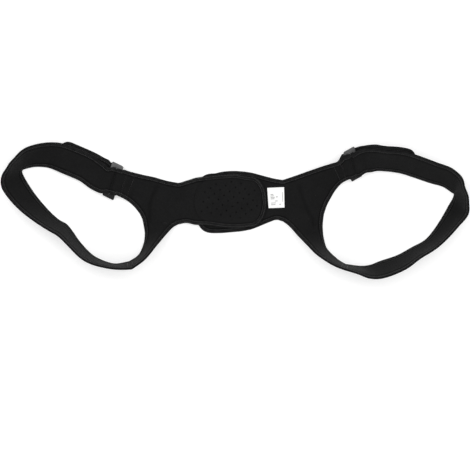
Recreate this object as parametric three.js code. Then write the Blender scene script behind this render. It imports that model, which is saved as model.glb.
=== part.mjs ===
// Posture corrector: two padded cloth halves that overlap in the middle of the back, each with an
// arm loop closed by a ring buckle. It lies flat with its body side up. Millimetres, +Z up.
import * as THREE from 'three';
import { mergeVertices } from 'three/addons/utils/BufferGeometryUtils.js';

// Overall reach
const halfLength = 400; // middle of the back to the far end of either loop
const leftLoopDepth = 220; // top edge of the left strap to the bottom of its loop
const rightLoopDepth = 230;

// Padded cloth
const panelThickness = 4;
const strapThickness = 4;
const strapWidth = 49;
const armWidth = 46; // the wing's arm, where it goes round its bar
const layerGap = 0.3; // clearance between cloth that lies on cloth, and round the bars
const edgeSeam = 7; // seam line to cloth edge

// Ring buckles
const barThickness = 3.5;
const barWidth = 5; // the two long bars that the cloth goes round
const endBarWidth = 3.5;
const slotClearance = 0.5; // beside the strap, at each end of the slot
const foldSpacing = 2.6; // open part of the slot, between the two folds of cloth
const ringCornerRadius = 2.5;
const ringRounding = 0.4; // of the bar's edges, as a share of its thickness

// Ends of cloth that turn back at the buckles
const leftTabLength = 97;
const rightTabLength = 96;
const leftTabSkew = 6; // how far a tab stands out past the strap's outer edge
const rightTabSkew = 4.5;
const tabSwingLength = 30; // from the buckle to where a tab stands out fully
const tabCornerRadius = 14;
const armTurnLength = 21;
const armTurnInset = 3; // the turned end is this much narrower at each edge
const stepDown = 16; // past a turned end the cloth comes down to the floor over this length

// Middle of the back
const waistHeight = 71; // left half, where its wing meets its tongue
const rightWaistHeight = 71;
const leftTongueLength = 151;
const leftTongueHeight = 92;
const rightTongueLength = 151;
const rightTongueHeight = 106;
const stepLength = 24; // left half climbs onto the right one over this length
const stepClearance = 2; // from the end of that step to the right half's end

// Pad and its vents
const padThickness = 2;
const padLength = 117;
const padNearCap = 0.2; // the pad's round end at the left, as a share of its length
const ventDiameter = 2.2;
const ventPitch = 16.7;
const ventRowAngle = -9.5; // degrees
const ventEdgeDistance = 5;

// Care label
const labelWidth = 29;
const labelHeight = 35;
const labelThickness = 0.5;
const labelTilt = 2.5; // degrees
const labelRise = 2; // above the middle of the waist
const labelClearance = 1; // to the end of the left tongue

// Facets
const acrossSteps = 4;
const neckSteps = 6;
const foldSteps = 6;
const capSteps = 7;
const capReach = 0.96; // of the quarter turn at a tongue's end, the rest is its short flat end
const sectionLength = 11; // along a strap
const wingSectionLength = 8;
const placeSteps = 12; // fine steps for each row when a length is measured
const padSteps = 30;
const edgeSteps = 3; // round the ring's edges and corners
const ventSteps = 4; // for each quarter of a vent

// Left half. x runs outwards in shares of halfLength, y upwards in shares of leftLoopDepth, both
// from the middle of the back. turn is the direction across the strap, in degrees from outwards,
// lean is how far the strap stands up on its inner edge, cup is its hollow in shares of strapWidth.
const left = {
  side: -1,
  depth: leftLoopDepth,
  tabLength: leftTabLength,
  tabSkew: leftTabSkew,
  foldSlack: 0.45, // share of foldSpacing by which the strap's fold stands off its bar
  ring: { x: 0.54, y: 0.129, turn: 107, lean: 0 },
  strap: [
    { x: 0.62, y: 0.186, turn: 117, lean: 0, cup: 0 },
    { x: 0.667, y: 0.232, turn: 116, lean: 0, cup: 0 },
    { x: 0.744, y: 0.291, turn: 110, lean: 4, cup: 0 },
    { x: 0.797, y: 0.327, turn: 99, lean: 26, cup: 0.03 },
    { x: 0.846, y: 0.335, turn: 85, lean: 41, cup: 0.05 },
    { x: 0.876, y: 0.328, turn: 73, lean: 47, cup: 0.05 },
    { x: 0.904, y: 0.315, turn: 55, lean: 63, cup: 0.04 },
    { x: 0.909, y: 0.307, turn: 5, lean: 56, cup: 0.04 },
    { x: 0.905, y: 0.28, turn: -27, lean: 34, cup: 0.04 },
    { x: 0.888, y: 0.223, turn: -33, lean: 33, cup: 0.05 },
    { x: 0.849, y: 0.119, turn: -35, lean: 41, cup: 0.05 },
    { x: 0.797, y: 0.009, turn: -45, lean: 54, cup: 0.05 },
    { x: 0.754, y: -0.064, turn: -51, lean: 61, cup: 0.03 },
    { x: 0.721, y: -0.099, turn: -50, lean: 61, cup: 0.02 },
    { x: 0.699, y: -0.144, turn: -42, lean: 64, cup: 0.02 },
    { x: 0.667, y: -0.228, turn: -38, lean: 69, cup: 0.02 },
    { x: 0.629, y: -0.307, turn: -46, lean: 71.5, cup: 0.02 },
    { x: 0.597, y: -0.355, turn: -58, lean: 75.5, cup: 0.01 },
    { x: 0.552, y: -0.396, turn: -72, lean: 80, cup: 0 },
    { x: 0.509, y: -0.413, turn: -88, lean: 82, cup: 0 },
    { x: 0.454, y: -0.395, turn: -112, lean: 79, cup: 0 },
  ],
  // Inner and outer edge of the wing, from the arm to the tail
  wing: [
    { inX: 0.479, inY: 0.094, outX: 0.441, outY: 0.299, lean: 0 },
    { inX: 0.454, inY: 0.065, outX: 0.394, outY: 0.278, lean: 0 },
    { inX: 0.432, inY: 0.029, outX: 0.345, outY: 0.259, lean: 0 },
    { inX: 0.417, inY: -0.004, outX: 0.293, outY: 0.232, lean: 0 },
  ],
  tail: [
    { inX: 0.39, inY: -0.12, outX: 0.266, outY: -0.132, lean: 6 },
    { inX: 0.386, inY: -0.183, outX: 0.293, outY: -0.188, lean: 28 },
    { inX: 0.392, inY: -0.262, outX: 0.33, outY: -0.264, lean: 58 },
    { inX: 0.413, inY: -0.345, outX: 0.384, outY: -0.378, lean: 76 },
  ],
  neck: { x: 0.244, y: 0.054, topIn: 0.408, topInY: -0.026, endIn: 0.397, endInY: -0.07 },
  waist: waistHeight,
};

// Right half, in the same columns
const right = {
  side: 1,
  depth: rightLoopDepth,
  tabLength: rightTabLength,
  tabSkew: rightTabSkew,
  foldSlack: 0,
  ring: { x: 0.517, y: 0.263, turn: 107, lean: 27 },
  strap: [
    { x: 0.595, y: 0.286, turn: 92, lean: 37, cup: 0.01 },
    { x: 0.633, y: 0.288, turn: 88, lean: 43, cup: 0.02 },
    { x: 0.702, y: 0.273, turn: 81, lean: 41, cup: 0.02 },
    { x: 0.764, y: 0.24, turn: 75, lean: 41, cup: 0.02 },
    { x: 0.832, y: 0.2, turn: 72, lean: 43, cup: 0.02 },
    { x: 0.886, y: 0.173, turn: 70, lean: 46, cup: 0.02 },
    { x: 0.928, y: 0.127, turn: 75, lean: 45, cup: 0 },
    { x: 0.934, y: 0.117, turn: 38, lean: 65, cup: 0.02 },
    { x: 0.927, y: 0.09, turn: -11, lean: 59, cup: 0.06 },
    { x: 0.911, y: 0.043, turn: -28, lean: 46, cup: 0.1 },
    { x: 0.88, y: -0.052, turn: -28, lean: 52, cup: 0.1 },
    { x: 0.842, y: -0.151, turn: -31, lean: 59, cup: 0.09 },
    { x: 0.806, y: -0.219, turn: -42, lean: 64, cup: 0.07 },
    { x: 0.754, y: -0.268, turn: -53, lean: 63, cup: 0.05 },
    { x: 0.692, y: -0.327, turn: -61, lean: 58, cup: 0.04 },
    { x: 0.62, y: -0.37, turn: -71, lean: 55, cup: 0.03 },
    { x: 0.578, y: -0.399, turn: -89, lean: 65, cup: 0.02 },
    { x: 0.537, y: -0.408, turn: -108, lean: 76, cup: 0 },
    { x: 0.475, y: -0.396, turn: -122, lean: 83, cup: 0 },
  ],
  wing: [
    { inX: 0.47, inY: 0.214, outX: 0.437, outY: 0.368, lean: 27 },
    { inX: 0.452, inY: 0.193, outX: 0.409, outY: 0.351, lean: 22 },
    { inX: 0.428, inY: 0.145, outX: 0.366, outY: 0.327, lean: 13 },
    { inX: 0.411, inY: 0.097, outX: 0.311, outY: 0.293, lean: 6 },
    { inX: 0.397, inY: 0.054, outX: 0.257, outY: 0.259, lean: 1 },
  ],
  tail: [
    { inX: 0.374, inY: -0.085, outX: 0.23, outY: -0.115, lean: 5 },
    { inX: 0.374, inY: -0.137, outX: 0.264, outY: -0.184, lean: 22 },
    { inX: 0.38, inY: -0.212, outX: 0.304, outY: -0.258, lean: 48 },
    { inX: 0.394, inY: -0.286, outX: 0.345, outY: -0.326, lean: 67 },
    { inX: 0.439, inY: -0.362, outX: 0.409, outY: -0.398, lean: 77 },
  ],
  neck: { x: 0.204, y: 0.074, topIn: 0.39, topInY: 0.026, endIn: 0.38, endInY: -0.026 },
  waist: rightWaistHeight,
};

// Tongues. along is a share of the straight part, half a share of half the tongue's height,
// mid the middle line's rise in shares of the same half height, square the roundness of the end
// (2 is an ellipse), cap the rounded end's share of the tongue's length.
const leftTongue = {
  length: leftTongueLength,
  half: leftTongueHeight / 2,
  cap: 0.186,
  square: 2.1,
  rows: [
    { along: 0.11, half: 0.785, mid: 0.317 },
    { along: 0.25, half: 0.861, mid: 0.327 },
    { along: 0.42, half: 0.895, mid: 0.35 },
    { along: 0.6, half: 0.975, mid: 0.358 },
    { along: 0.8, half: 1, mid: 0.35 },
    { along: 1, half: 0.936, mid: 0.327 },
  ],
};
const rightTongue = {
  length: rightTongueLength,
  half: rightTongueHeight / 2,
  cap: 0.22,
  square: 2.6,
  rows: [
    { along: 0.09, half: 0.66, mid: 0.36 },
    { along: 0.19, half: 0.72, mid: 0.35 },
    { along: 0.31, half: 0.81, mid: 0.33 },
    { along: 0.45, half: 0.912, mid: 0.31 },
    { along: 0.6, half: 0.968, mid: 0.3 },
    { along: 0.75, half: 0.99, mid: 0.29 },
    { along: 0.88, half: 0.99, mid: 0.265 },
    { along: 1, half: 0.965, mid: 0.235 },
  ],
};

// Worked out from the sizes above
const slotWidth = strapThickness + panelThickness + 2 * layerGap + foldSpacing;
const slotLength = strapWidth + 2 * slotClearance;
const barBase = Math.max(strapThickness, panelThickness) + layerGap;
const overBar = barBase + barThickness + layerGap;
const onCloth = { strap: strapThickness + layerGap, panel: panelThickness + layerGap };
const settleLength = 3 * barThickness; // from over the bar down to the cloth beneath
const straightRun = barWidth + 2; // cloth stays square to the ring this far

const radians = THREE.MathUtils.degToRad;
const smooth = (value, from, to) => THREE.MathUtils.smoothstep(value, from, to);
const up = new THREE.Vector3(0, 0, 1);

// Smooth curve through the rows of a table, column by column
function between(rows, place) {
  const last = rows.length - 1;
  const index = Math.min(Math.floor(place), last - 1);
  const t = place - index;
  const row = (i) => rows[Math.max(0, Math.min(last, i))];
  const result = {};
  for (const key of Object.keys(rows[0])) {
    const [a, b, c, d] = [-1, 0, 1, 2].map((step) => row(index + step)[key]);
    const bend = 2 * a - 5 * b + 4 * c - d + t * (3 * (b - c) + d - a);
    result[key] = b + 0.5 * t * (c - a + t * bend);
  }
  return result;
}

// Directions of a piece of cloth: along its width, and out of its upper face
function stance(half, turn, lean) {
  const flat = new THREE.Vector3(half.side * Math.cos(radians(turn)), Math.sin(radians(turn)), 0);
  const across = flat.clone().multiplyScalar(Math.cos(radians(lean)));
  across.addScaledVector(up, Math.sin(radians(lean)));
  const normal = flat.clone().multiplyScalar(-Math.sin(radians(lean)));
  normal.addScaledVector(up, Math.cos(radians(lean)));
  return { flat, across, normal };
}

const placed = (half, x, y) => new THREE.Vector3(half.side * x * halfLength, y * half.depth, 0);

// A cross-section: start and end of the width on the inner face, and the way to the other face
function section(start, across, width, normal, thickness, cup = 0) {
  return { start, across, width, normal, thickness, cup };
}

// Lifts a cupped cross-section whose hollow would reach under the floor
function onFloor(part) {
  const heights = Array.from({ length: acrossSteps + 1 }, (_, k) =>
    sectionPoint(part, k / acrossSteps, 0).z);
  part.start.z += Math.max(0, -Math.min(...heights));
  return part;
}

function sectionPoint(part, share, depth) {
  const bow = -part.cup * 4 * share * (1 - share);
  return part.start
    .clone()
    .addScaledVector(part.across, part.width * share)
    .addScaledVector(part.normal, depth * part.thickness + bow);
}

// Ring buckle's own frame: origin on the floor under the slot's middle, at the straps' inner edge
function ringFrame(half) {
  const { x, y, turn, lean } = half.ring;
  const { across, normal } = stance(half, turn, lean);
  const outwards = new THREE.Vector3().crossVectors(across, normal).multiplyScalar(half.side);
  return { origin: placed(half, x, y), across, normal, outwards };
}

const ringPoint = (frame, out, height, sideways = 0) =>
  frame.origin
    .clone()
    .addScaledVector(frame.outwards, out)
    .addScaledVector(frame.normal, height)
    .addScaledVector(frame.across, sideways);

// Cloth going round a bar from beneath to above, way is +1 for the outer bar and -1 for the inner
function foldRound(frame, way, thickness, width, slack) {
  const radius = barThickness / 2 + layerGap;
  const centre = slotWidth / 2 + barThickness / 2 - slack;
  const sections = [];
  for (let step = 0; step <= foldSteps; step += 1) {
    const angle = Math.PI * (step / foldSteps - 0.5);
    const radial = frame.outwards.clone().multiplyScalar(-way * Math.cos(angle));
    radial.addScaledVector(frame.normal, Math.sin(angle));
    const beside = (strapWidth - width) / 2;
    const start = ringPoint(frame, way * centre, barBase + barThickness / 2, beside);
    start.addScaledVector(radial, radius);
    sections.push(section(start, frame.across, width, radial, thickness));
  }
  return sections;
}

// Edge-to-edge inset that rounds the corners of a free end
function cornerInset(distance, radius) {
  const inside = Math.max(0, radius - distance);
  return radius - Math.sqrt(Math.max(0, radius * radius - inside * inside));
}

// Surface between cross-sections, closed all round
class ClothMesh {
  constructor() {
    this.positions = [];
  }
  quad(a, b, c, d) {
    for (const point of [a, b, c, a, c, d]) this.positions.push(point.x, point.y, point.z);
  }
  // open lists the gaps between cross-sections where the far edge is left open for a tongue
  strip(sections, open = [], caps = [true, true]) {
    const steps = acrossSteps;
    const grid = sections.map((part) =>
      [0, 1].map((depth) =>
        Array.from({ length: steps + 1 }, (_, k) => sectionPoint(part, k / steps, depth))));
    for (let i = 0; i + 1 < grid.length; i += 1) {
      const [here, next] = [grid[i], grid[i + 1]];
      for (let k = 0; k < steps; k += 1) {
        this.quad(here[0][k], here[0][k + 1], next[0][k + 1], next[0][k]);
        this.quad(here[1][k], next[1][k], next[1][k + 1], here[1][k + 1]);
      }
      this.quad(here[0][0], next[0][0], next[1][0], here[1][0]);
      if (!open.includes(i)) {
        this.quad(here[0][steps], here[1][steps], next[1][steps], next[0][steps]);
      }
    }
    if (caps[0]) this.cap(grid[0], false);
    if (caps[1]) this.cap(grid[grid.length - 1], true);
  }
  cap(part, flip) {
    for (let k = 0; k + 1 < part[0].length; k += 1) {
      const [a, b, c, d] = [part[0][k], part[1][k], part[1][k + 1], part[0][k + 1]];
      if (flip) this.quad(a, d, c, b);
      else this.quad(a, b, c, d);
    }
  }
  // Rows of points across a tongue, lower and upper face, the first row left open
  tongue(rows) {
    for (let i = 0; i + 1 < rows.length; i += 1) {
      const [here, next] = [rows[i], rows[i + 1]];
      for (let k = 0; k + 1 < here[0].length; k += 1) {
        this.quad(next[0][k], next[0][k + 1], here[0][k + 1], here[0][k]);
        this.quad(here[1][k + 1], next[1][k + 1], next[1][k], here[1][k]);
      }
      const end = here[0].length - 1;
      this.quad(here[1][0], next[1][0], next[0][0], here[0][0]);
      this.quad(next[0][end], next[1][end], here[1][end], here[0][end]);
    }
    this.cap(rows[rows.length - 1], false);
  }
  geometry() {
    const raw = new THREE.BufferGeometry();
    raw.setAttribute('position', new THREE.Float32BufferAttribute(this.positions, 3));
    const merged = mergeVertices(raw, 1e-3);
    return signedVolume(merged) < 0 ? turnedOut(merged) : merged;
  }
}

function signedVolume(geometry) {
  const place = geometry.getAttribute('position');
  const [a, b, c] = [new THREE.Vector3(), new THREE.Vector3(), new THREE.Vector3()];
  let total = 0;
  for (let i = 0; i < geometry.index.count; i += 3) {
    a.fromBufferAttribute(place, geometry.index.getX(i));
    b.fromBufferAttribute(place, geometry.index.getX(i + 1));
    c.fromBufferAttribute(place, geometry.index.getX(i + 2));
    total += a.dot(b.cross(c)) / 6;
  }
  return total;
}

function turnedOut(geometry) {
  geometry.setIndex(Array.from(geometry.index.array).reverse());
  return geometry;
}

// Strap rows at any place of its table, with the inner edge brought onto the floor
function strapStance(half, rows, place) {
  const row = between(rows, place);
  row.lean = Math.max(0, row.lean);
  return { ...row, ...stance(half, row.turn, row.lean), edge: placed(half, row.x, row.y) };
}

// Inner edge of the ring end of the cloth, written as a strap row
function ringRow(half, out, lift, thickness) {
  const frame = ringFrame(half);
  const { turn, lean } = half.ring;
  const point = ringPoint(frame, out, 0);
  const back = (thickness + lift) * Math.sin(radians(lean));
  point.addScaledVector(stance(half, turn, lean).flat, -back);
  return { x: half.side * point.x / halfLength, y: point.y / half.depth, turn, lean, cup: 0 };
}

// Places along a table that lie about one section length apart
function evenPlaces(rows, pointAt, length) {
  const fine = placeSteps * (rows.length - 1);
  const run = [0];
  for (let i = 1; i <= fine; i += 1) {
    const step = pointAt((i - 1) / placeSteps).distanceTo(pointAt(i / placeSteps));
    run.push(run[i - 1] + step);
  }
  const count = Math.round(run[fine] / length);
  return Array.from({ length: count + 1 }, (_, i) => {
    const goal = (run[fine] * i) / count;
    const next = Math.max(1, run.findIndex((value) => value >= goal - 1e-9));
    const share = (goal - run[next - 1]) / (run[next] - run[next - 1]);
    return { place: (next - 1 + share) / placeSteps, distance: goal };
  });
}

function strapSections(half) {
  const barFar = slotWidth / 2 + straightRun;
  const slack = half.foldSlack * foldSpacing;
  const frame = ringFrame(half);
  const rows = [ringRow(half, barFar, overBar, strapThickness), ...half.strap];
  const middle = (place) => {
    const spot = strapStance(half, rows, place);
    return spot.edge.addScaledVector(spot.across, strapWidth / 2);
  };
  const places = evenPlaces(rows, middle, sectionLength);
  const reach = straightRun - barThickness / 2 + slack; // from the fold to the first place
  const tabEnd = half.tabLength - reach;
  const liftAt = (distance) => {
    const settle = 1 - smooth(distance, 0, settleLength);
    const drop = 1 - smooth(distance, tabEnd + layerGap, tabEnd + layerGap + stepDown);
    return onCloth.strap * drop + (overBar - onCloth.strap) * settle;
  };
  const top = places.map(({ place, distance }) => {
    const spot = strapStance(half, rows, place);
    const lift = liftAt(distance);
    const shift = strapThickness * Math.sin(radians(spot.lean));
    const start = spot.edge.addScaledVector(spot.flat, shift);
    start.z += lift * Math.cos(radians(spot.lean));
    const cup = spot.cup * strapWidth;
    return onFloor(section(start, spot.across, strapWidth, spot.normal, strapThickness, cup));
  });
  // The tab keeps to the floor right under the strap and swings out past its outer edge
  const tab = [];
  const tabSteps = Math.ceil(tabEnd / sectionLength) + 3;
  for (let step = 0; step <= tabSteps; step += 1) {
    const distance = tabEnd * (1 - ((tabSteps - step) / tabSteps) ** 2);
    const near = Math.max(1, places.findIndex((spot) => spot.distance >= distance));
    const [from, to] = [places[near - 1], places[near]];
    const share = (distance - from.distance) / (to.distance - from.distance);
    const spot = strapStance(half, rows, from.place + share * (to.place - from.place));
    const bottom = strapThickness + liftAt(distance);
    const start = spot.edge.addScaledVector(spot.flat, bottom * Math.sin(radians(spot.lean)));
    start.addScaledVector(spot.normal, strapThickness);
    const inset = cornerInset(tabEnd - distance, tabCornerRadius);
    const skew = half.tabSkew * smooth(distance, -tabSwingLength / 2, tabSwingLength);
    start.addScaledVector(spot.across, skew + inset);
    const down = spot.normal.clone().negate();
    const width = strapWidth - 2 * inset;
    tab.push(section(start, spot.across, width, down, strapThickness));
  }
  const square = (height, way) => {
    const start = ringPoint(frame, slotWidth / 2 + barWidth, height);
    const normal = frame.normal.clone().multiplyScalar(way);
    return section(start, frame.across, strapWidth, normal, strapThickness);
  };
  const fold = foldRound(frame, 1, strapThickness, strapWidth, slack);
  const beneath = barBase - layerGap;
  return [...tab.reverse(), square(beneath, -1), ...fold, square(overBar, 1), ...top];
}

function strapMesh(half) {
  const mesh = new ClothMesh();
  mesh.strip(strapSections(half));
  return mesh.geometry();
}

// Cross-section of a wing row, standing on its inner edge
function wingSection(half, row, lift) {
  const inner = placed(half, row.inX, row.inY);
  const outer = placed(half, row.outX, row.outY);
  const flat = outer.clone().sub(inner);
  const spread = flat.length();
  flat.normalize();
  const [sine, cosine] = [Math.sin(radians(row.lean)), Math.cos(radians(row.lean))];
  const across = flat.clone().multiplyScalar(cosine).addScaledVector(up, sine);
  const normal = flat.clone().multiplyScalar(-sine).addScaledVector(up, cosine);
  const start = inner.addScaledVector(flat, panelThickness * sine);
  start.z += lift * cosine;
  const width = (spread - panelThickness * sine) / cosine;
  return section(start, across, width, normal, panelThickness);
}

// The strap's last cross-section, moved on by the sewn gap, as a wing row
function seamRow(half) {
  const row = half.strap[half.strap.length - 1];
  const { flat } = stance(half, row.turn, row.lean);
  const inner = placed(half, row.x, row.y);
  const previous = half.strap[half.strap.length - 2];
  const onward = inner.clone().sub(placed(half, previous.x, previous.y)).setLength(layerGap * 2);
  inner.add(onward);
  const cosine = Math.cos(radians(row.lean));
  const sine = Math.sin(radians(row.lean));
  const outer = inner.clone();
  outer.addScaledVector(flat, strapWidth * cosine + panelThickness * sine);
  return wingRow(half, inner, outer, row.lean);
}

const wingRow = (half, inner, outer, lean) => ({
  inX: half.side * inner.x / halfLength,
  inY: inner.y / half.depth,
  outX: half.side * outer.x / halfLength,
  outY: outer.y / half.depth,
  lean,
});

function neckPoint(half, share) {
  const { x, y } = half.neck;
  return placed(half, x, y).add(new THREE.Vector3(0, half.waist * (0.5 - share), 0));
}

// Wing rows from the ring to the top of the waist
function armRows(half) {
  const frame = ringFrame(half);
  const { turn, lean } = half.ring;
  const { flat } = stance(half, turn, lean);
  const [sine, cosine] = [Math.sin(radians(lean)), Math.cos(radians(lean))];
  const inner = ringPoint(frame, -slotWidth / 2 - straightRun, 0, (strapWidth - armWidth) / 2);
  inner.addScaledVector(flat, -(panelThickness + overBar) * sine);
  inner.z = 0;
  const outer = inner.clone();
  outer.addScaledVector(flat, armWidth * cosine + panelThickness * sine);
  const { topIn, topInY } = half.neck;
  const top = wingRow(half, placed(half, topIn, topInY), neckPoint(half, 0), 0);
  return [wingRow(half, inner, outer, lean), ...half.wing, top];
}

const wingMiddle = (half, rows) => (place) => {
  const row = between(rows, place);
  return placed(half, row.inX, row.inY).lerp(placed(half, row.outX, row.outY), 0.5);
};

function wingSections(half) {
  const frame = ringFrame(half);
  const fold = foldRound(frame, -1, panelThickness, armWidth, 0);
  const beside = (strapWidth - armWidth) / 2;
  const beneath = barBase - layerGap;
  const straight = -slotWidth / 2 - barWidth;
  const square = (height, way) => {
    const start = ringPoint(frame, straight, height, beside);
    const normal = frame.normal.clone().multiplyScalar(way);
    return section(start, frame.across, armWidth, normal, panelThickness);
  };
  const reach = straightRun - barThickness / 2;
  const turnedEnd = armTurnLength - reach;
  const liftAt = (distance) => {
    const settle = 1 - smooth(distance, 0, settleLength);
    const drop = 1 - smooth(distance, turnedEnd + layerGap, turnedEnd + layerGap + stepDown);
    return onCloth.panel * drop + (overBar - onCloth.panel) * settle;
  };
  const upper = armRows(half);
  const places = evenPlaces(upper, wingMiddle(half, upper), wingSectionLength);
  const arm = places.map(({ place, distance }) =>
    wingSection(half, between(upper, place), liftAt(distance)));
  // The turned end lies on the floor right under the arm, a little narrower
  const turned = [1, 0.67, 0.33, 0].map((share) => {
    const distance = turnedEnd * share;
    const near = Math.max(1, places.findIndex((spot) => spot.distance >= distance));
    const [from, to] = [places[near - 1], places[near]];
    const part = (distance - from.distance) / (to.distance - from.distance);
    const row = between(upper, from.place + part * (to.place - from.place));
    const over = wingSection(half, row, liftAt(distance));
    const inset = armTurnInset * share;
    const start = over.start.addScaledVector(over.normal, panelThickness - liftAt(distance));
    start.addScaledVector(over.across, inset);
    const down = over.normal.negate();
    return section(start, over.across, over.width - 2 * inset, down, panelThickness);
  });
  const { topIn, topInY, endIn, endInY } = half.neck;
  const neck = Array.from({ length: neckSteps + 1 }, (_, i) => {
    const share = i / neckSteps;
    const inner = placed(half, topIn, topInY).lerp(placed(half, endIn, endInY), share);
    return wingSection(half, wingRow(half, inner, neckPoint(half, share), 0), 0);
  });
  const end = wingRow(half, placed(half, endIn, endInY), neckPoint(half, 1), 0);
  const lower = [end, ...half.tail, seamRow(half)];
  const tail = evenPlaces(lower, wingMiddle(half, lower), wingSectionLength)
    .map(({ place }) => wingSection(half, between(lower, place), 0));
  const before = [...turned, square(beneath, -1), ...fold, square(overBar, 1)];
  const start = [...before, ...arm.slice(0, -1)];
  const open = neck.slice(1).map((_, i) => start.length + i);
  return { sections: [...start, ...neck, ...tail.slice(1)], open };
}

// Edge of a tongue: middle line and half height at a distance from the neck
function tongueEdge(half, tongue, distance, inset = 0) {
  const capLength = tongue.cap * tongue.length;
  const straight = tongue.length - capLength;
  const neck = { along: 0, half: half.waist / 2 / tongue.half, mid: 0 };
  const base = half.neck.y * half.depth;
  const first = { ...neck, mid: base / tongue.half };
  const rows = [first, ...tongue.rows];
  const along = Math.min(distance / straight, 1);
  const index = Math.max(0, rows.findIndex((row) => row.along >= along - 1e-9) - 1);
  const gap = rows[index + 1].along - rows[index].along;
  const row = between(rows, index + (along - rows[index].along) / gap);
  const past = Math.max(0, distance - straight) / (capLength - inset);
  const round = Math.max(0, 1 - past ** tongue.square) ** (1 / tongue.square);
  return { mid: row.mid * tongue.half, half: (row.half * tongue.half - inset) * round };
}

const neckX = (half) => half.side * half.neck.x * halfLength;

function tongueRows(half, tongue) {
  const capLength = tongue.cap * tongue.length;
  const straight = tongue.length - capLength;
  const straightSteps = Math.round(straight / sectionLength);
  const distances = [];
  for (let i = 0; i <= straightSteps; i += 1) distances.push((straight * i) / straightSteps);
  for (let i = 1; i <= capSteps; i += 1) {
    const angle = (Math.PI / 2) * capReach * (i / capSteps);
    distances.push(straight + capLength * Math.sin(angle));
  }
  return distances.map((distance) => {
    const edge = tongueEdge(half, tongue, distance);
    const x = neckX(half) - half.side * distance;
    return [0, panelThickness].map((z) =>
      Array.from({ length: neckSteps + 1 }, (_, k) => {
        const y = edge.mid + edge.half * (1 - (2 * k) / neckSteps);
        return new THREE.Vector3(x, y, z);
      }));
  });
}

// The left half climbs onto the end of the right half
const stepTop = neckX(right) - rightTongueLength - stepClearance;
const climb = (x) => onCloth.panel * smooth(x, stepTop - stepLength, stepTop);

function panelMesh(half, tongue) {
  const mesh = new ClothMesh();
  const { sections, open } = wingSections(half);
  mesh.strip(sections, open);
  mesh.tongue(tongueRows(half, tongue));
  const geometry = mesh.geometry();
  if (half === left) {
    const place = geometry.getAttribute('position');
    for (let i = 0; i < place.count; i += 1) place.setZ(i, place.getZ(i) + climb(place.getX(i)));
  }
  return geometry;
}

// Flat rectangular ring with rounded edges, lying in the ring frame
function ringMesh(half) {
  const frame = ringFrame(half);
  const bevel = barThickness * ringRounding;
  const outerWidth = slotWidth + 2 * barWidth;
  const outerLength = slotLength + 2 * endBarWidth;
  const shape = roundedBox(new THREE.Shape(), outerWidth - 2 * bevel, outerLength - 2 * bevel,
    ringCornerRadius);
  shape.holes.push(roundedBox(new THREE.Path(), slotWidth + 2 * bevel, slotLength + 2 * bevel,
    ringCornerRadius));
  const geometry = new THREE.ExtrudeGeometry(shape, {
    depth: barThickness - 2 * bevel,
    bevelThickness: bevel,
    bevelSize: bevel,
    bevelSegments: edgeSteps,
    curveSegments: edgeSteps,
  });
  geometry.translate(0, strapWidth / 2, barBase + bevel);
  const turn = new THREE.Matrix4().makeBasis(
    frame.outwards.clone().multiplyScalar(half.side),
    frame.across,
    frame.normal,
  );
  turn.setPosition(frame.origin);
  geometry.applyMatrix4(turn);
  return geometry;
}

function roundedBox(path, width, height, radius) {
  const [w, h] = [width / 2, height / 2];
  path.moveTo(-w + radius, -h);
  path.lineTo(w - radius, -h);
  path.absarc(w - radius, -h + radius, radius, -Math.PI / 2, 0);
  path.lineTo(w, h - radius);
  path.absarc(w - radius, h - radius, radius, 0, Math.PI / 2);
  path.lineTo(-w + radius, h);
  path.absarc(-w + radius, h - radius, radius, Math.PI / 2, Math.PI);
  path.lineTo(-w, -h + radius);
  path.absarc(-w + radius, -h + radius, radius, Math.PI, 1.5 * Math.PI);
  return path;
}

// Pad: the left tongue's outline brought in to the seam, with a round near end
const padEnd = leftTongueLength - edgeSeam;
const padStart = padEnd - padLength;

function padEdge(distance) {
  const edge = tongueEdge(left, leftTongue, distance, edgeSeam);
  const nearCap = padNearCap * padLength;
  const back = Math.max(0, 1 - (distance - padStart) / nearCap);
  return { mid: edge.mid, half: edge.half * Math.sqrt(Math.max(0, 1 - back * back)) };
}

function padMesh() {
  const upper = [];
  const lower = [];
  for (let i = 0; i <= padSteps; i += 1) {
    const distance = padStart + (padLength / 2) * (1 - Math.cos((Math.PI * i) / padSteps));
    const edge = padEdge(distance);
    const x = neckX(left) + distance;
    upper.push(new THREE.Vector2(x, edge.mid + edge.half));
    if (edge.half > 1) lower.unshift(new THREE.Vector2(x, edge.mid - edge.half));
  }
  const shape = new THREE.Shape([...upper, ...lower]);
  for (const vent of ventPlaces()) {
    const hole = new THREE.Path();
    hole.absarc(vent.x, vent.y, ventDiameter / 2, 0, 2 * Math.PI);
    shape.holes.push(hole);
  }
  const geometry = new THREE.ExtrudeGeometry(shape, {
    depth: padThickness,
    bevelEnabled: false,
    curveSegments: ventSteps,
  });
  geometry.translate(0, 0, 2 * onCloth.panel);
  return geometry;
}

// Square lattice with a vent in the middle of each square, rows sloping with ventRowAngle
function ventPlaces() {
  const middle = padStart + padLength / 2;
  const centre = new THREE.Vector2(neckX(left) + middle, padEdge(middle).mid);
  const reach = Math.ceil(padLength / ventPitch) * 2;
  const places = [];
  for (let i = -reach; i <= reach; i += 1) {
    for (let j = -reach; j <= reach; j += 1) {
      if ((i + j) % 2 !== 0) continue;
      const spot = new THREE.Vector2((i * ventPitch) / 2, (j * ventPitch) / 2);
      spot.rotateAround(new THREE.Vector2(), radians(ventRowAngle)).add(centre);
      const distance = spot.x - neckX(left);
      const clear = [-1, 1].every((way) => {
        const beside = distance + way * (ventEdgeDistance + ventDiameter);
        if (beside <= padStart || beside >= padEnd) return false;
        const edge = padEdge(beside);
        return Math.abs(spot.y - edge.mid) < edge.half - ventEdgeDistance;
      });
      if (clear) places.push(spot);
    }
  }
  return places;
}

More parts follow.
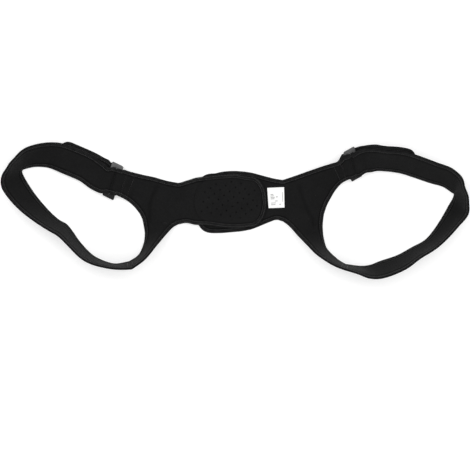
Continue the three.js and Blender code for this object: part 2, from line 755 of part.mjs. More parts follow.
function labelMesh() {
  const geometry = new THREE.BoxGeometry(labelWidth, labelHeight, labelThickness);
  geometry.rotateZ(radians(labelTilt));
  const x = neckX(left) + leftTongueLength + labelClearance + labelWidth / 2;
  const edge = tongueEdge(right, rightTongue, neckX(right) - x);
  geometry.translate(x, edge.mid + labelRise, onCloth.panel + labelThickness / 2);
  return geometry;
}

const cloth = { color: 0x1c1c1e, roughness: 0.92, metalness: 0 };
const plastic = { color: 0x0c0c0d, roughness: 0.28, metalness: 0 };
const whiteTape = { color: 0xe9e8e4, roughness: 0.8, metalness: 0 };

function piece(name, geometry, look) {
  geometry.deleteAttribute('uv');
  geometry.deleteAttribute('normal');
  const shape = mergeVertices(geometry, 1e-3);
  shape.computeVertexNormals();
  const mesh = new THREE.Mesh(shape, new THREE.MeshStandardMaterial(look));
  mesh.name = name;
  return mesh;
}

const corrector = new THREE.Group();
corrector.add(
  piece('left_back_panel', panelMesh(left, leftTongue), cloth),
  piece('right_back_panel', panelMesh(right, rightTongue), cloth),
  piece('spine_pad', padMesh(), cloth),
  piece('left_shoulder_strap', strapMesh(left), cloth),
  piece('right_shoulder_strap', strapMesh(right), cloth),
  piece('left_ring_buckle', ringMesh(left), plastic),
  piece('right_ring_buckle', ringMesh(right), plastic),
  piece('care_label', labelMesh(), whiteTape),
);

// The whole stands on z = 0 with its box centred
const box = new THREE.Box3().setFromObject(corrector);
const centre = box.getCenter(new THREE.Vector3());
corrector.position.set(-centre.x, -centre.y, -box.min.z);
corrector.updateMatrixWorld(true);

export default corrector;
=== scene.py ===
"""Looks of a padded posture corrector that lies flat with its body side up.

The cloth is laid out in millimetres as a middle surface. Its two faces stand off that surface, with
a bound edge, a sewn groove and a soft core. Meshes are in metres.
"""

import math
from collections import namedtuple

import bpy
import numpy as np
from bpy.props import FloatProperty, FloatVectorProperty, PointerProperty
from mathutils import Matrix, Vector, noise
from mathutils.kdtree import KDTree


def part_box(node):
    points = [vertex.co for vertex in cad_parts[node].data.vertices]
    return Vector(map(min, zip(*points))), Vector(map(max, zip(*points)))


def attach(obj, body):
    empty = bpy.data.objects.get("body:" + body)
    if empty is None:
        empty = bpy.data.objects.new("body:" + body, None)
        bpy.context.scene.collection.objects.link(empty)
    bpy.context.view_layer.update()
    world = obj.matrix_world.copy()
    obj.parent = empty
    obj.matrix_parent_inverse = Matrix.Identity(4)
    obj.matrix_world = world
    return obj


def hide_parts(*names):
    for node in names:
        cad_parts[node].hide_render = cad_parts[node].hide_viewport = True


bl_info = {
    "name": "Posture corrector",
    "version": (1, 0, 0),
    "blender": (4, 5, 0),
    "location": "3D View > Sidebar > Corrector",
    "description": "Builds the cloth, buckles, label and studio of a posture corrector",
    "category": "Add Mesh",
}

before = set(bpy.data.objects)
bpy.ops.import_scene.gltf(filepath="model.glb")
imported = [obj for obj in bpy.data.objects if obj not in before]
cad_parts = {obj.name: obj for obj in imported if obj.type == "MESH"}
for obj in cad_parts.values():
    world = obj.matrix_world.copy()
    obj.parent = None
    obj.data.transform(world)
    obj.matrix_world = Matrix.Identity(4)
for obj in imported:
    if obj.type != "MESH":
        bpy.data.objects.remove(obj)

MM = 0.001

# Sizes in millimetres
HALF_LENGTH = 400.0
PANEL_THICKNESS = 4.0
STRAP_THICKNESS = 4.0
STRAP_WIDTH = 49.0
ARM_WIDTH = 46.0
LAYER_GAP = 0.3
BAR_THICKNESS = 3.5
BAR_WIDTH = 5.0
FOLD_SPACING = 2.6
TAB_SWING_LENGTH = 8.0  # over which the turned-back end of a strap swings aside
TAB_FIRST_SKEW = 0.6  # share of its skew that it has at the bar
TAB_CORNER_RADIUS = 14.0
ARM_TURN_LENGTH = 21.0  # the end of the wing's arm that is turned under
ARM_TURN_INSET = 3.0
STEP_DOWN = 16.0  # from a turned end down to the floor
STEP_LENGTH = 24.0  # from the floor up onto the other half
STEP_CLEARANCE = 2.0
EDGE_SEAM = 7.0
PAD_LENGTH = 117.0
PAD_THICKNESS = 2.0
PAD_NEAR_CAP = 0.2  # share of the pad's length that its near end takes to round off
VENT_DIAMETER = 2.2
VENT_PITCH = 16.7
VENT_ROW_ANGLE = -9.5
VENT_EDGE_DISTANCE = 5.0
LABEL_WIDTH = 29.0
LABEL_HEIGHT = 35.0
LABEL_TILT = 2.5
LABEL_RISE = 2.0
LABEL_CLEARANCE = 1.0

# Worked out from them
SLOT_WIDTH = STRAP_THICKNESS + PANEL_THICKNESS + 2 * LAYER_GAP + FOLD_SPACING
BAR_BASE = max(STRAP_THICKNESS, PANEL_THICKNESS) + LAYER_GAP
OVER_BAR = BAR_BASE + BAR_THICKNESS + LAYER_GAP
ON_STRAP = STRAP_THICKNESS + LAYER_GAP
ON_PANEL = PANEL_THICKNESS + LAYER_GAP
SETTLE_LENGTH = 3 * BAR_THICKNESS
STRAIGHT_RUN = BAR_WIDTH + 2

# Cloth at the rings
FOLD_BULGE = 0.502 * FOLD_SPACING  # each fold stands off its bar, so that the two meet
RING_PINCH = 2.8  # the strap is this much narrower in its ring
ARM_FOLD_START = 0.3  # the arm's fold starts this far from the strap's inner edge
PINCH_LENGTH = 16.0  # over which it widens again
SPREAD_START = (-5.0, 2.0)  # where the strap spreads past its ring
SPREAD_FULL = 5.0  # and from where it returns to its line
SPREAD_AT_BAR = 0.6  # share of the spread that the bar's outer edge already has
SEWN_GAP = 0.02  # between the wing's tail and the strap
ARM_SEAMS = (6.0, 19.5)  # rows of stitches across the arm, from the straight run on
ARM_SEAM_LINES = (-1.2, -0.5, 0.0, 0.5, 1.2)

# Steps of the cloth's rows, in millimetres along and in counts round a fold or an end
ROW_STEP = 2.4
FOLD_STEPS = 22
CAP_STEPS = 34
TURN_STEPS = 12
TAB_EXTRA_STEPS = 12
PLACE_STEPS = 12
CREASE_STEPS = 40
LINE_FILL = 0.5  # between the points that fill a line
# Distances from an edge at which the cloth has a line of points, and how many lie between
EDGE_LINES = (0, 0.15, 0.45, 0.9, 1.5, 2.3, 3.3, 4.3, 5.0, 5.6, 6.2, 6.7, 7.0, 7.3, 7.7, 8.4, 9.4, 10.8)
CORE_LINES = 16
LINE_COUNT = 2 * len(EDGE_LINES) + CORE_LINES
NARROW = 2.6  # cloth narrower than this many edges has its lines closer together
TIP = 0.02  # half height that a tongue keeps at its tip

# Shape of the faces over the middle surface, in millimetres
SETTLED_LENGTH = 14.0
RING_LENGTH = 30.0  # nearer than this to a ring or a sewn end the heights stay
SEWN_ROW = 4.0  # from a sewn end to its row of stitches
SEWN_WIDTH = 0.6  # half width of the line that a row of stitches presses in
TAPE_DROP = 0.22  # the edge tape lies this much under the soft core's face
SEAM_STEP = 0.75  # the groove beside the tape
PUFF_LENGTH = 3.6  # from the groove to the core's full height
EDGE_RADIUS = 1.9
STITCH_LINE = 5.7  # from the edge to the tape's stitches
STITCH_DIP = 0.28
STITCH_DIP_WIDTH = 0.8
ZIGZAG = 0.9  # sideways part of a slanting stitch
ZIGZAG_LINE = 1.9
ZIGZAG_PITCH = 2.6
RIPPLE_DEPTH = 0.3
RIPPLE_LENGTH = 26.0
LOWER_RIPPLE = 9.0  # the lower face has other ripples than the upper one
CORE_START = (1.0, 8.0)  # from the seam to where the core's ripples have their full depth
PRESS_DEPTH = 0.8
PRESS_START = 4.0  # nearer to the edge than this a crease runs out
FULL_REACH = 27.0  # the cloth is pressed full within this distance of a ring
TAPE_END = (-0.1, 0.35)  # from the seam: where the tape's face turns down into the groove
NEAR_LINE = 4.0  # faces farther than this from a line can't cross it
ON_RIM = 1e-6

UP = np.array([0.0, 0.0, 1.0])

StrapRow = namedtuple("StrapRow", "x y turn lean cup")
WingRow = namedtuple("WingRow", "in_x in_y out_x out_y lean")
Neck = namedtuple("Neck", "x y top_in top_in_y end_in end_in_y")
Tongue = namedtuple("Tongue", "length half cap square rows")
Half = namedtuple(
    "Half",
    "side depth tab_length tab_skew spread spread_end waist ring strap wing tail neck tongue",
)
Section = namedtuple("Section", "start across width normal thickness cup")
Crease = namedtuple("Crease", "points depth width")


def table(kind, *rows):
    """Rows of one kind, each written as its plain values."""
    return tuple(kind(*row) for row in rows)


# x runs outwards in shares of the half length, y upwards in shares of the loop's depth. turn is the
# direction across the strap in degrees from outwards, lean how far it stands up on its inner edge,
# cup its hollow in shares of its width. spread is how far the strap lies towards its outer edge
# just past its ring, up to spread_end. A tongue's rows say how far along its straight part they
# are, its half height and the rise of its middle line, both in shares of its largest half height.
# Its end is rounded over the share cap of its length, and square says how squarely.
LEFT = Half(
    side=-1,
    depth=220.0,
    tab_length=97.0,
    tab_skew=6.0,
    spread=-3.8,
    spread_end=45.0,
    waist=71.0,
    ring=StrapRow(0.54, 0.129, 107, 0, 0),
    strap=table(
        StrapRow,
        (0.62, 0.186, 117, 0, 0), (0.667, 0.232, 116, 0, 0), (0.744, 0.291, 110, 4, 0),
        (0.797, 0.327, 99, 26, 0.03), (0.846, 0.335, 85, 41, 0.05), (0.876, 0.328, 73, 49, 0.05),
        (0.904, 0.315, 55, 62.8, 0.04), (0.9065, 0.311, 30, 62.8, 0.04),
        (0.909, 0.307, 5, 59.3, 0.04), (0.905, 0.28, -27, 34, 0.04), (0.888, 0.223, -33, 33, 0.05),
        (0.849, 0.119, -35, 41, 0.05), (0.797, 0.009, -45, 54, 0.05),
        (0.754, -0.064, -51, 61, 0.03), (0.721, -0.099, -50, 61, 0.02),
        (0.699, -0.144, -42, 64, 0.02), (0.667, -0.228, -38, 69, 0.02),
        (0.629, -0.307, -46, 71.5, 0.02), (0.597, -0.355, -58, 75.5, 0.01),
        (0.552, -0.393, -72, 80, 0), (0.509, -0.409, -88, 81.2, 0), (0.454, -0.39, -112, 75, 0),
    ),
    wing=table(
        WingRow,
        (0.479, 0.094, 0.441, 0.299, 0), (0.454, 0.065, 0.394, 0.278, 0),
        (0.432, 0.029, 0.345, 0.259, 0), (0.417, -0.004, 0.293, 0.232, 0),
    ),
    tail=table(
        WingRow,
        (0.392, -0.12, 0.267, -0.132, 6), (0.389, -0.183, 0.295, -0.19, 28),
        (0.3955, -0.262, 0.33, -0.268, 56.5), (0.416, -0.342, 0.382, -0.384, 73),
    ),
    neck=Neck(0.244, 0.054, 0.408, -0.026, 0.397, -0.07),
    tongue=Tongue(
        length=151.0,
        half=46.0,
        cap=0.186,
        square=2.1,
        rows=(
            (0.11, 0.788, 0.323), (0.25, 0.88, 0.344), (0.42, 0.915, 0.366), (0.6, 0.975, 0.358),
            (0.8, 1.0, 0.35), (1.0, 0.936, 0.327),
        ),
    ),
)
RIGHT = Half(
    side=1,
    depth=230.0,
    tab_length=98.0,
    tab_skew=4.5,
    spread=3.2,
    spread_end=22.0,
    waist=71.0,
    ring=StrapRow(0.517, 0.263, 107, 27, 0),
    strap=table(
        StrapRow,
        (0.595, 0.286, 92, 37, 0.01), (0.633, 0.288, 88, 43, 0.02), (0.702, 0.273, 81, 41, 0.02),
        (0.764, 0.24, 75, 41, 0.02), (0.832, 0.2, 72, 43, 0.02), (0.886, 0.173, 70, 46, 0.02),
        (0.928, 0.127, 75, 46.5, 0), (0.934, 0.117, 38, 67, 0.02), (0.927, 0.09, -11, 59, 0.06),
        (0.911, 0.043, -28, 44.5, 0.1), (0.88, -0.052, -28, 52, 0.1),
        (0.842, -0.151, -31, 59, 0.09), (0.806, -0.219, -42, 64, 0.07),
        (0.754, -0.268, -53, 63, 0.05), (0.692, -0.327, -61, 57.5, 0.04),
        (0.62, -0.37, -71, 54.5, 0.03), (0.578, -0.399, -89, 63.2, 0.02),
        (0.537, -0.408, -108, 74.5, 0), (0.475, -0.396, -122, 80, 0),
    ),
    wing=table(
        WingRow,
        (0.47, 0.214, 0.437, 0.368, 27), (0.452, 0.193, 0.409, 0.351, 22),
        (0.428, 0.145, 0.366, 0.327, 13), (0.411, 0.097, 0.311, 0.293, 6),
        (0.397, 0.054, 0.257, 0.259, 1),
    ),
    tail=table(
        WingRow,
        (0.376, -0.085, 0.23, -0.115, 5), (0.3765, -0.137, 0.264, -0.184, 22),
        (0.3825, -0.212, 0.304, -0.26, 48), (0.397, -0.285, 0.345, -0.331, 66),
        (0.441, -0.36, 0.408, -0.404, 75),
    ),
    neck=Neck(0.204, 0.074, 0.39, 0.026, 0.38, -0.026),
    tongue=Tongue(
        length=151.0,
        half=53.0,
        cap=0.22,
        square=2.6,
        rows=(
            (0.09, 0.66, 0.36), (0.19, 0.72, 0.35), (0.31, 0.81, 0.33), (0.45, 0.912, 0.31),
            (0.6, 0.968, 0.3), (0.75, 0.99, 0.29), (0.88, 0.99, 0.265), (1.0, 0.965, 0.235),
        ),
    ),
)

# Creases pressed into the wings: points in millimetres from the middle of the back, then depth and
# half width
CREASES = (
    Crease(((-132.7, 41.8), (-144.8, 16.2), (-146.5, -19.0)), 0.8, 3.0),
    Crease(((109.5, 41.8), (117.2, 17.2), (124.7, -0.9), (132.4, -14.5), (133.9, -25.5)), 0.8, 3.0),
    Crease(((-177.0, 55.0), (-184.3, 40.5)), 0.5, 1.6),
    Crease(((177.5, 76.5), (177.0, 52.0)), 0.5, 1.8),
    Crease(((133.0, -40.5), (139.0, -40.0)), 0.5, 1.6),
)


def smooth(value, low, high):
    """Zero up to low, one from high, and smooth between them."""
    share = np.clip((np.asarray(value, float) - low) / (high - low), 0, 1)
    return share * share * (3 - 2 * share)


def between(rows, place):
    """Smooth curve through the rows of a table, column by column."""
    rows = np.asarray(rows, float)
    last = len(rows) - 1
    index = min(int(math.floor(place)), last - 1)
    t = place - index
    a, b, c, d = (rows[max(0, min(last, index + step))] for step in (-1, 0, 1, 2))
    return b + 0.5 * t * (c - a + t * (2 * a - 5 * b + 4 * c - d + t * (3 * (b - c) + d - a)))


def stance(half, turn, lean):
    """Directions of the cloth: across on the floor, across its width, and out of its upper face."""
    turn, lean = math.radians(turn), math.radians(lean)
    flat = np.array([half.side * math.cos(turn), math.sin(turn), 0.0])
    across = flat * math.cos(lean) + UP * math.sin(lean)
    normal = UP * math.cos(lean) - flat * math.sin(lean)
    return flat, across, normal


def placed(half, x, y):
    """Point on the floor for shares of the half length and of the loop's depth."""
    return np.array([half.side * x * HALF_LENGTH, y * half.depth, 0.0])


def inner_point(section, share):
    """Point of the lower face at a share of the width."""
    bow = -section.cup * 4 * share * (1 - share)
    return section.start + section.across * (section.width * share) + section.normal * bow


def on_floor(section):
    """Lifts a cupped cross-section whose hollow would reach under the floor."""
    lowest = min(inner_point(section, share)[2] for share in (0, 0.25, 0.5, 0.75, 1))
    return section._replace(start=section.start + UP * max(0.0, -lowest))


class RingFrame:
    """A ring buckle's own directions, from the floor under the slot's middle."""

    def __init__(self, half):
        ring = half.ring
        _, self.across, self.normal = stance(half, ring.turn, ring.lean)
        self.outwards = np.cross(self.across, self.normal) * half.side
        self.origin = placed(half, ring.x, ring.y)

    def point(self, out, height, sideways=0.0):
        return self.origin + self.outwards * out + self.normal * height + self.across * sideways

    def fold(self, way, thickness, width, beside):
        """Cloth round a bar from beneath to above, way +1 for the outer bar and -1 for the inner."""
        radius = BAR_THICKNESS / 2 + LAYER_GAP
        centre = SLOT_WIDTH / 2 + BAR_THICKNESS / 2 - FOLD_BULGE
        sections = []
        for step in range(FOLD_STEPS + 1):
            angle = math.pi * (step / FOLD_STEPS - 0.5)
            radial = self.outwards * (-way * math.cos(angle)) + self.normal * math.sin(angle)
            middle = self.point(way * centre, BAR_BASE + BAR_THICKNESS / 2, beside)
            start = middle + radial * radius
            sections.append(Section(start, self.across, width, radial, thickness, 0.0))
        return sections

    def square(self, out, height, way, thickness, width, beside):
        """Cloth square to the bars, at a distance from the slot's middle."""
        start = self.point(out, height, beside)
        return Section(start, self.across, width, self.normal * way, thickness, 0.0)


def running_length(points):
    """Distance of each point along the line through them."""
    return np.concatenate([[0], np.cumsum(np.linalg.norm(np.diff(points, axis=0), axis=1))])


def even_places(rows, point_at, extra=()):
    """Places along a table and their distances, about one row apart, with extra distances."""
    fine = np.arange(PLACE_STEPS * (len(rows) - 1) + 1) / PLACE_STEPS
    points = np.array([point_at(place) for place in fine])
    run = running_length(points)
    goals = np.unique([*np.linspace(0, run[-1], round(run[-1] / ROW_STEP) + 1), *extra])
    return np.interp(goals, run, fine), goals


def strap_spot(half, rows, place):
    """Where a strap's inner edge stands at a place of its table, and how the cloth stands there."""
    x, y, turn, lean, cup = between(rows, place)
    lean = max(0.0, lean)
    flat, across, normal = stance(half, turn, lean)
    return placed(half, x, y), flat, across, normal, math.radians(lean), cup


def ring_row(half):
    """Table row of a strap where it leaves its ring."""
    ring = half.ring
    flat, _, _ = stance(half, ring.turn, ring.lean)
    back = (STRAP_THICKNESS + OVER_BAR) * math.sin(math.radians(ring.lean))
    point = RingFrame(half).point(SLOT_WIDTH / 2 + STRAIGHT_RUN, 0) - flat * back
    return StrapRow(half.side * point[0] / HALF_LENGTH, point[1] / half.depth, ring.turn, ring.lean, 0)


def pinch(distance):
    """How much narrower the cloth is at a distance from its ring."""
    return RING_PINCH * float(1 - smooth(distance, 0, PINCH_LENGTH))


def layer_lift(distance, turned_end, layer):
    """Lift of the upper cloth past its bar: on its own turned end, then down to the floor."""
    settle = 1 - smooth(distance, 0, SETTLE_LENGTH)
    drop = 1 - smooth(distance, turned_end + LAYER_GAP, turned_end + LAYER_GAP + STEP_DOWN)
    return float(layer * drop + (OVER_BAR - layer) * settle)


def spread_at(half, distance):
    """How far the strap lies sideways at a distance from its ring."""
    past = smooth(distance, SPREAD_FULL, half.spread_end)
    return half.spread * float(smooth(distance, *SPREAD_START) * (1 - past))


def strap_sections(half):
    """Cross-sections of a strap from its turned-back end, through its ring, to its sewn end."""
    ring = RingFrame(half)
    rows = [ring_row(half), *half.strap]

    def middle(place):
        edge, _, across, *_ = strap_spot(half, rows, place)
        return edge + across * STRAP_WIDTH / 2

    places, distances = even_places(rows, middle)
    tab_end = half.tab_length - (STRAIGHT_RUN - BAR_THICKNESS / 2 + FOLD_BULGE)
    top = []
    for place, distance in zip(places, distances):
        edge, flat, across, normal, lean, cup = strap_spot(half, rows, place)
        lift = layer_lift(distance, tab_end, ON_STRAP)
        start = edge + flat * STRAP_THICKNESS * math.sin(lean) + UP * lift * math.cos(lean)
        start = start + across * spread_at(half, distance)
        width = STRAP_WIDTH - pinch(distance)
        section = Section(start, across, width, normal, STRAP_THICKNESS, cup * STRAP_WIDTH)
        top.append(on_floor(section))
    tab = []
    steps = int(tab_end / ROW_STEP) + TAB_EXTRA_STEPS
    for step in range(steps, -1, -1):
        distance = tab_end * (1 - ((steps - step) / steps) ** 2)
        place = np.interp(distance, distances, places)
        edge, flat, across, normal, lean, _ = strap_spot(half, rows, place)
        bottom = STRAP_THICKNESS + layer_lift(distance, tab_end, ON_STRAP)
        inside = max(0.0, TAB_CORNER_RADIUS - (tab_end - distance))
        inset = TAB_CORNER_RADIUS - math.sqrt(max(0.0, TAB_CORNER_RADIUS**2 - inside**2))
        swing = float(smooth(distance, 0, TAB_SWING_LENGTH))
        skew = half.tab_skew * (TAB_FIRST_SKEW + (1 - TAB_FIRST_SKEW) * swing)
        start = edge + flat * bottom * math.sin(lean) + normal * STRAP_THICKNESS
        start = start + across * (skew + inset)
        width = STRAP_WIDTH - 2 * inset
        tab.append(Section(start, across, width, -normal, STRAP_THICKNESS, 0.0))
    out = SLOT_WIDTH / 2 + BAR_WIDTH
    width = STRAP_WIDTH - RING_PINCH
    skew = TAB_FIRST_SKEW * half.tab_skew
    beneath = ring.square(out, BAR_BASE - LAYER_GAP, -1, STRAP_THICKNESS, STRAP_WIDTH, skew)
    above = ring.square(out, OVER_BAR, 1, STRAP_THICKNESS, width, SPREAD_AT_BAR * half.spread)
    fold = ring.fold(1, STRAP_THICKNESS, width, 0)
    return [*tab, beneath, *fold, above, *top]


def wing_row(half, inner, outer, lean):
    """Table row of a wing whose inner and outer edges stand over these points."""
    x, y = half.side / HALF_LENGTH, 1 / half.depth
    return WingRow(x * inner[0], y * inner[1], x * outer[0], y * outer[1], lean)


def wing_ends(half, row):
    """Inner and outer end of a wing's row on the floor."""
    return placed(half, row[0], row[1]), placed(half, row[2], row[3])


def wing_section(half, row, lift):
    """Cross-section of a wing that stands between the two ends of its row."""
    inner, outer = wing_ends(half, row)
    spread = np.linalg.norm(outer - inner)
    flat = (outer - inner) / spread
    sine, cosine = math.sin(math.radians(row[4])), math.cos(math.radians(row[4]))
    start = inner + flat * PANEL_THICKNESS * sine + UP * lift * cosine
    width = (spread - PANEL_THICKNESS * sine) / cosine
    across = flat * cosine + UP * sine
    return Section(start, across, width, UP * cosine - flat * sine, PANEL_THICKNESS, 0.0)


def neck_point(half, drop):
    """Point of the neck line, drop millimetres under its top."""
    return placed(half, half.neck.x, half.neck.y) + np.array([0, half.waist / 2 - drop, 0])


def seam_row(half):
    """The strap's last cross-section, moved on by the sewn gap."""
    row, previous = half.strap[-1], half.strap[-2]
    flat, _, _ = stance(half, row.turn, row.lean)
    inner = placed(half, row.x, row.y)
    onward = inner - placed(half, previous.x, previous.y)
    inner = inner + onward / np.linalg.norm(onward) * SEWN_GAP
    lean = math.radians(row.lean)
    outer = inner + flat * (STRAP_WIDTH * math.cos(lean) + PANEL_THICKNESS * math.sin(lean))
    return wing_row(half, inner, outer, row.lean)


def arm_rows(half):
    """Rows of the wing from its ring up to the neck."""
    lean = math.radians(half.ring.lean)
    flat, _, _ = stance(half, half.ring.turn, half.ring.lean)
    beside = (STRAP_WIDTH - ARM_WIDTH) / 2
    inner = RingFrame(half).point(-SLOT_WIDTH / 2 - STRAIGHT_RUN, 0, beside)
    inner = inner - flat * (PANEL_THICKNESS + OVER_BAR) * math.sin(lean)
    inner[2] = 0
    outer = inner + flat * (ARM_WIDTH * math.cos(lean) + PANEL_THICKNESS * math.sin(lean))
    top = wing_row(half, placed(half, half.neck.top_in, half.neck.top_in_y), neck_point(half, 0), 0)
    return [wing_row(half, inner, outer, half.ring.lean), *half.wing, top]


def spread_lines(width):
    """Distances of the lines of points across a width, close together near both edges."""
    near = np.array(EDGE_LINES) * min(1.0, width / (NARROW * EDGE_LINES[-1]))
    core = np.linspace(near[-1], width - near[-1], CORE_LINES + 2)[1:-1]
    return np.concatenate([near, core, width - near[::-1]])


def wing_sections(half):
    """Cross-sections of the wing from its turned end to its tail, and where two parts of it start."""
    ring = RingFrame(half)
    upper = arm_rows(half)

    def middle_of(rows):
        return lambda place: sum(wing_ends(half, between(rows, place))) / 2

    rows_at = [seam + line for seam in ARM_SEAMS for line in ARM_SEAM_LINES]
    places, distances = even_places(upper, middle_of(upper), rows_at)
    turned_end = ARM_TURN_LENGTH - (STRAIGHT_RUN - BAR_THICKNESS / 2)
    arm = [
        wing_section(half, between(upper, place), layer_lift(distance, turned_end, ON_PANEL))
        for place, distance in zip(places, distances)
    ]
    turned = []
    for share in np.linspace(1, 0, TURN_STEPS):
        distance = turned_end * share
        row = between(upper, np.interp(distance, distances, places))
        lift = layer_lift(distance, turned_end, ON_PANEL)
        over = wing_section(half, row, lift)
        inset = ARM_TURN_INSET * share
        start = over.start + over.normal * (PANEL_THICKNESS - lift) + over.across * inset
        width = over.width - 2 * inset
        turned.append(Section(start, over.across, width, -over.normal, PANEL_THICKNESS, 0.0))
    out = -SLOT_WIDTH / 2 - BAR_WIDTH
    cloth = PANEL_THICKNESS, ARM_WIDTH, ARM_FOLD_START
    beneath = ring.square(out, BAR_BASE - LAYER_GAP, -1, *cloth)
    above = ring.square(out, OVER_BAR, 1, *cloth)
    fold = ring.fold(-1, *cloth)
    before = [*turned, beneath, *fold, above]
    neck = half.neck
    top, end = placed(half, neck.top_in, neck.top_in_y), placed(half, neck.end_in, neck.end_in_y)
    middle = [
        wing_section(
            half,
            wing_row(half, top + (end - top) * drop / half.waist, neck_point(half, drop), 0),
            0,
        )
        for drop in spread_lines(half.waist)
    ]
    lower = [wing_row(half, end, neck_point(half, half.waist), 0), *half.tail, seam_row(half)]
    places, _ = even_places(lower, middle_of(lower))
    tail = [wing_section(half, between(lower, place), 0) for place in places]
    sections = [*before, *arm[:-1], *middle, *tail[1:]]
    return sections, len(before), len(before) + len(arm) - 1


def tongue_edge(half, distance, inset=0.0):
    """Middle line and half height of a tongue at a distance from its neck."""
    tongue = half.tongue
    cap_length = tongue.cap * tongue.length
    straight = tongue.length - cap_length
    first = (0.0, half.waist / 2 / tongue.half, half.neck.y * half.depth / tongue.half)
    rows = np.array([first, *tongue.rows])
    along = min(distance / straight, 1)
    index = max(0, int(np.argmax(rows[:, 0] >= along - 1e-9)) - 1)
    share = (along - rows[index, 0]) / (rows[index + 1, 0] - rows[index, 0])
    _, high, middle = between(rows, index + share)
    past = max(0.0, distance - straight) / (cap_length - inset)
    rounding = max(0.0, 1 - past**tongue.square) ** (1 / tongue.square)
    return middle * tongue.half, (high * tongue.half - inset) * rounding


def neck_x(half):
    """Where the tongue starts."""
    return half.side * half.neck.x * HALF_LENGTH


STEP_TOP = neck_x(RIGHT) - RIGHT.tongue.length - STEP_CLEARANCE


def climb(x):
    """Rise of the left half onto the end of the right half."""
    return ON_PANEL * smooth(x, STEP_TOP - STEP_LENGTH, STEP_TOP)


def tongue_points(half):
    """Rows of points of a tongue from its neck to its tip."""
    cap_length = half.tongue.cap * half.tongue.length
    straight = half.tongue.length - cap_length
    run = np.linspace(0, straight, round(straight / ROW_STEP) + 1)
    turn = math.pi / 2 * np.arange(1, CAP_STEPS + 1) / CAP_STEPS
    rows = []
    for distance in [*run, *(straight + cap_length * np.sin(turn))]:
        middle, high = tongue_edge(half, distance)
        high = max(high, TIP)
        x = neck_x(half) - half.side * distance
        rows.append([(x, middle + high - drop, PANEL_THICKNESS / 2) for drop in spread_lines(2 * high)])
    return np.array(rows)


class Surface:
    """Middle surface of a piece of cloth, with distances to its edges, in millimetres."""

    def __init__(self, points, quads, flat, bound, thickness, press, seams):
        self.points = points
        self.quads = quads
        self.flat = flat
        self.bound = bound  # distance to the nearest bound edge
        self.thickness = thickness
        self.press = np.zeros(len(points)) if press is None else press  # creases and sewn rows
        self.seams = seams  # rows of points that are sewn across
        self.normals = face_normals(points, quads)


def face_normals(points, quads):
    """Normal at each point, from the quads round it."""
    corners = points[quads]
    crosses = np.cross(corners[:, 2] - corners[:, 0], corners[:, 3] - corners[:, 1])
    normals = np.zeros_like(points)
    for corner in range(4):
        np.add.at(normals, quads[:, corner], crosses)
    lengths = np.linalg.norm(normals, axis=1, keepdims=True)
    return normals / np.maximum(lengths, 1e-9)


def turned_to(wanted, points, quads):
    """The quads, reversed if their normals point away from the wanted side."""
    return quads if np.sum(face_normals(points, quads) * wanted) >= 0 else quads[:, ::-1]


def grid_quads(index):
    """Quads of a grid of vertex numbers."""
    return np.stack([index[:-1, :-1], index[:-1, 1:], index[1:, 1:], index[1:, :-1]], -1).reshape(-1, 4)


def section_points(sections):
    """Middle surface of cross-sections, and each point's distance from the inner edge."""
    points, offsets = [], []
    for part in sections:
        across = spread_lines(part.width)
        share = across / part.width
        lift = part.thickness / 2 - part.cup * 4 * share * (1 - share)
        points.append(part.start + np.outer(across, part.across) + np.outer(lift, part.normal))
        offsets.append(across)
    return np.array(points), np.array(offsets)


def distance_to(lines, points):
    """Distance from each point to polylines, whose sides are filled in with points."""
    filled = []
    for line in lines:
        for a, b in zip(line[:-1], line[1:]):
            count = max(1, int(np.linalg.norm(b - a) / LINE_FILL))
            filled.extend(a + (b - a) * k / count for k in range(count))
        filled.append(line[-1])
    tree = KDTree(len(filled))
    for number, point in enumerate(filled):
        tree.insert(point, number)
    tree.balance()
    return np.array([tree.find(point)[2] for point in points])


def run_along(grid):
    """Distance along the middle line of a grid's rows."""
    return running_length(grid[:, grid.shape[1] // 2])


def settled(grid, first):
    """Evens out the heights along the rows, away from the ring and from the sewn end."""
    run = run_along(grid)
    step = np.gradient(run)
    share = np.exp(-(((run[:, None] - run) / SETTLED_LENGTH) ** 2)) * step
    share = share / share.sum(axis=1, keepdims=True)
    even = share @ grid[..., 2]
    begin, end = run[first] + RING_LENGTH, run[-1]
    weight = smooth(run, begin, begin + RING_LENGTH) * (1 - smooth(run, end - RING_LENGTH, end))
    grid[..., 2] += (even - grid[..., 2]) * weight[:, None]
    return grid


def strap_surface(half):
    """Middle surface of a strap."""
    sections = strap_sections(half)
    grid, offsets = section_points(sections)
    along = run_along(grid)
    widths = np.array([part.width for part in sections])
    sideways = offsets - widths[:, None] / 2
    flat = np.stack([np.broadcast_to(along[:, None], sideways.shape), sideways], -1).reshape(-1, 2)
    level = np.column_stack([flat, np.zeros(len(flat))])
    rows = level.reshape(*sideways.shape, 3)
    bound = distance_to([rows[:, 0], rows[:, -1], rows[0]], level)
    quads = grid_quads(np.arange(grid.shape[0] * LINE_COUNT).reshape(grid.shape[0], LINE_COUNT))
    points = grid.reshape(-1, 3)
    facing = np.repeat([part.normal for part in sections], LINE_COUNT, axis=0)
    quads = turned_to(facing, points, quads)
    row = int(np.argmin(np.abs(along[-1] - along - SEWN_ROW)))
    seams = [np.arange(row * LINE_COUNT, (row + 1) * LINE_COUNT)]
    return Surface(points, quads, flat, bound, STRAP_THICKNESS, None, seams)


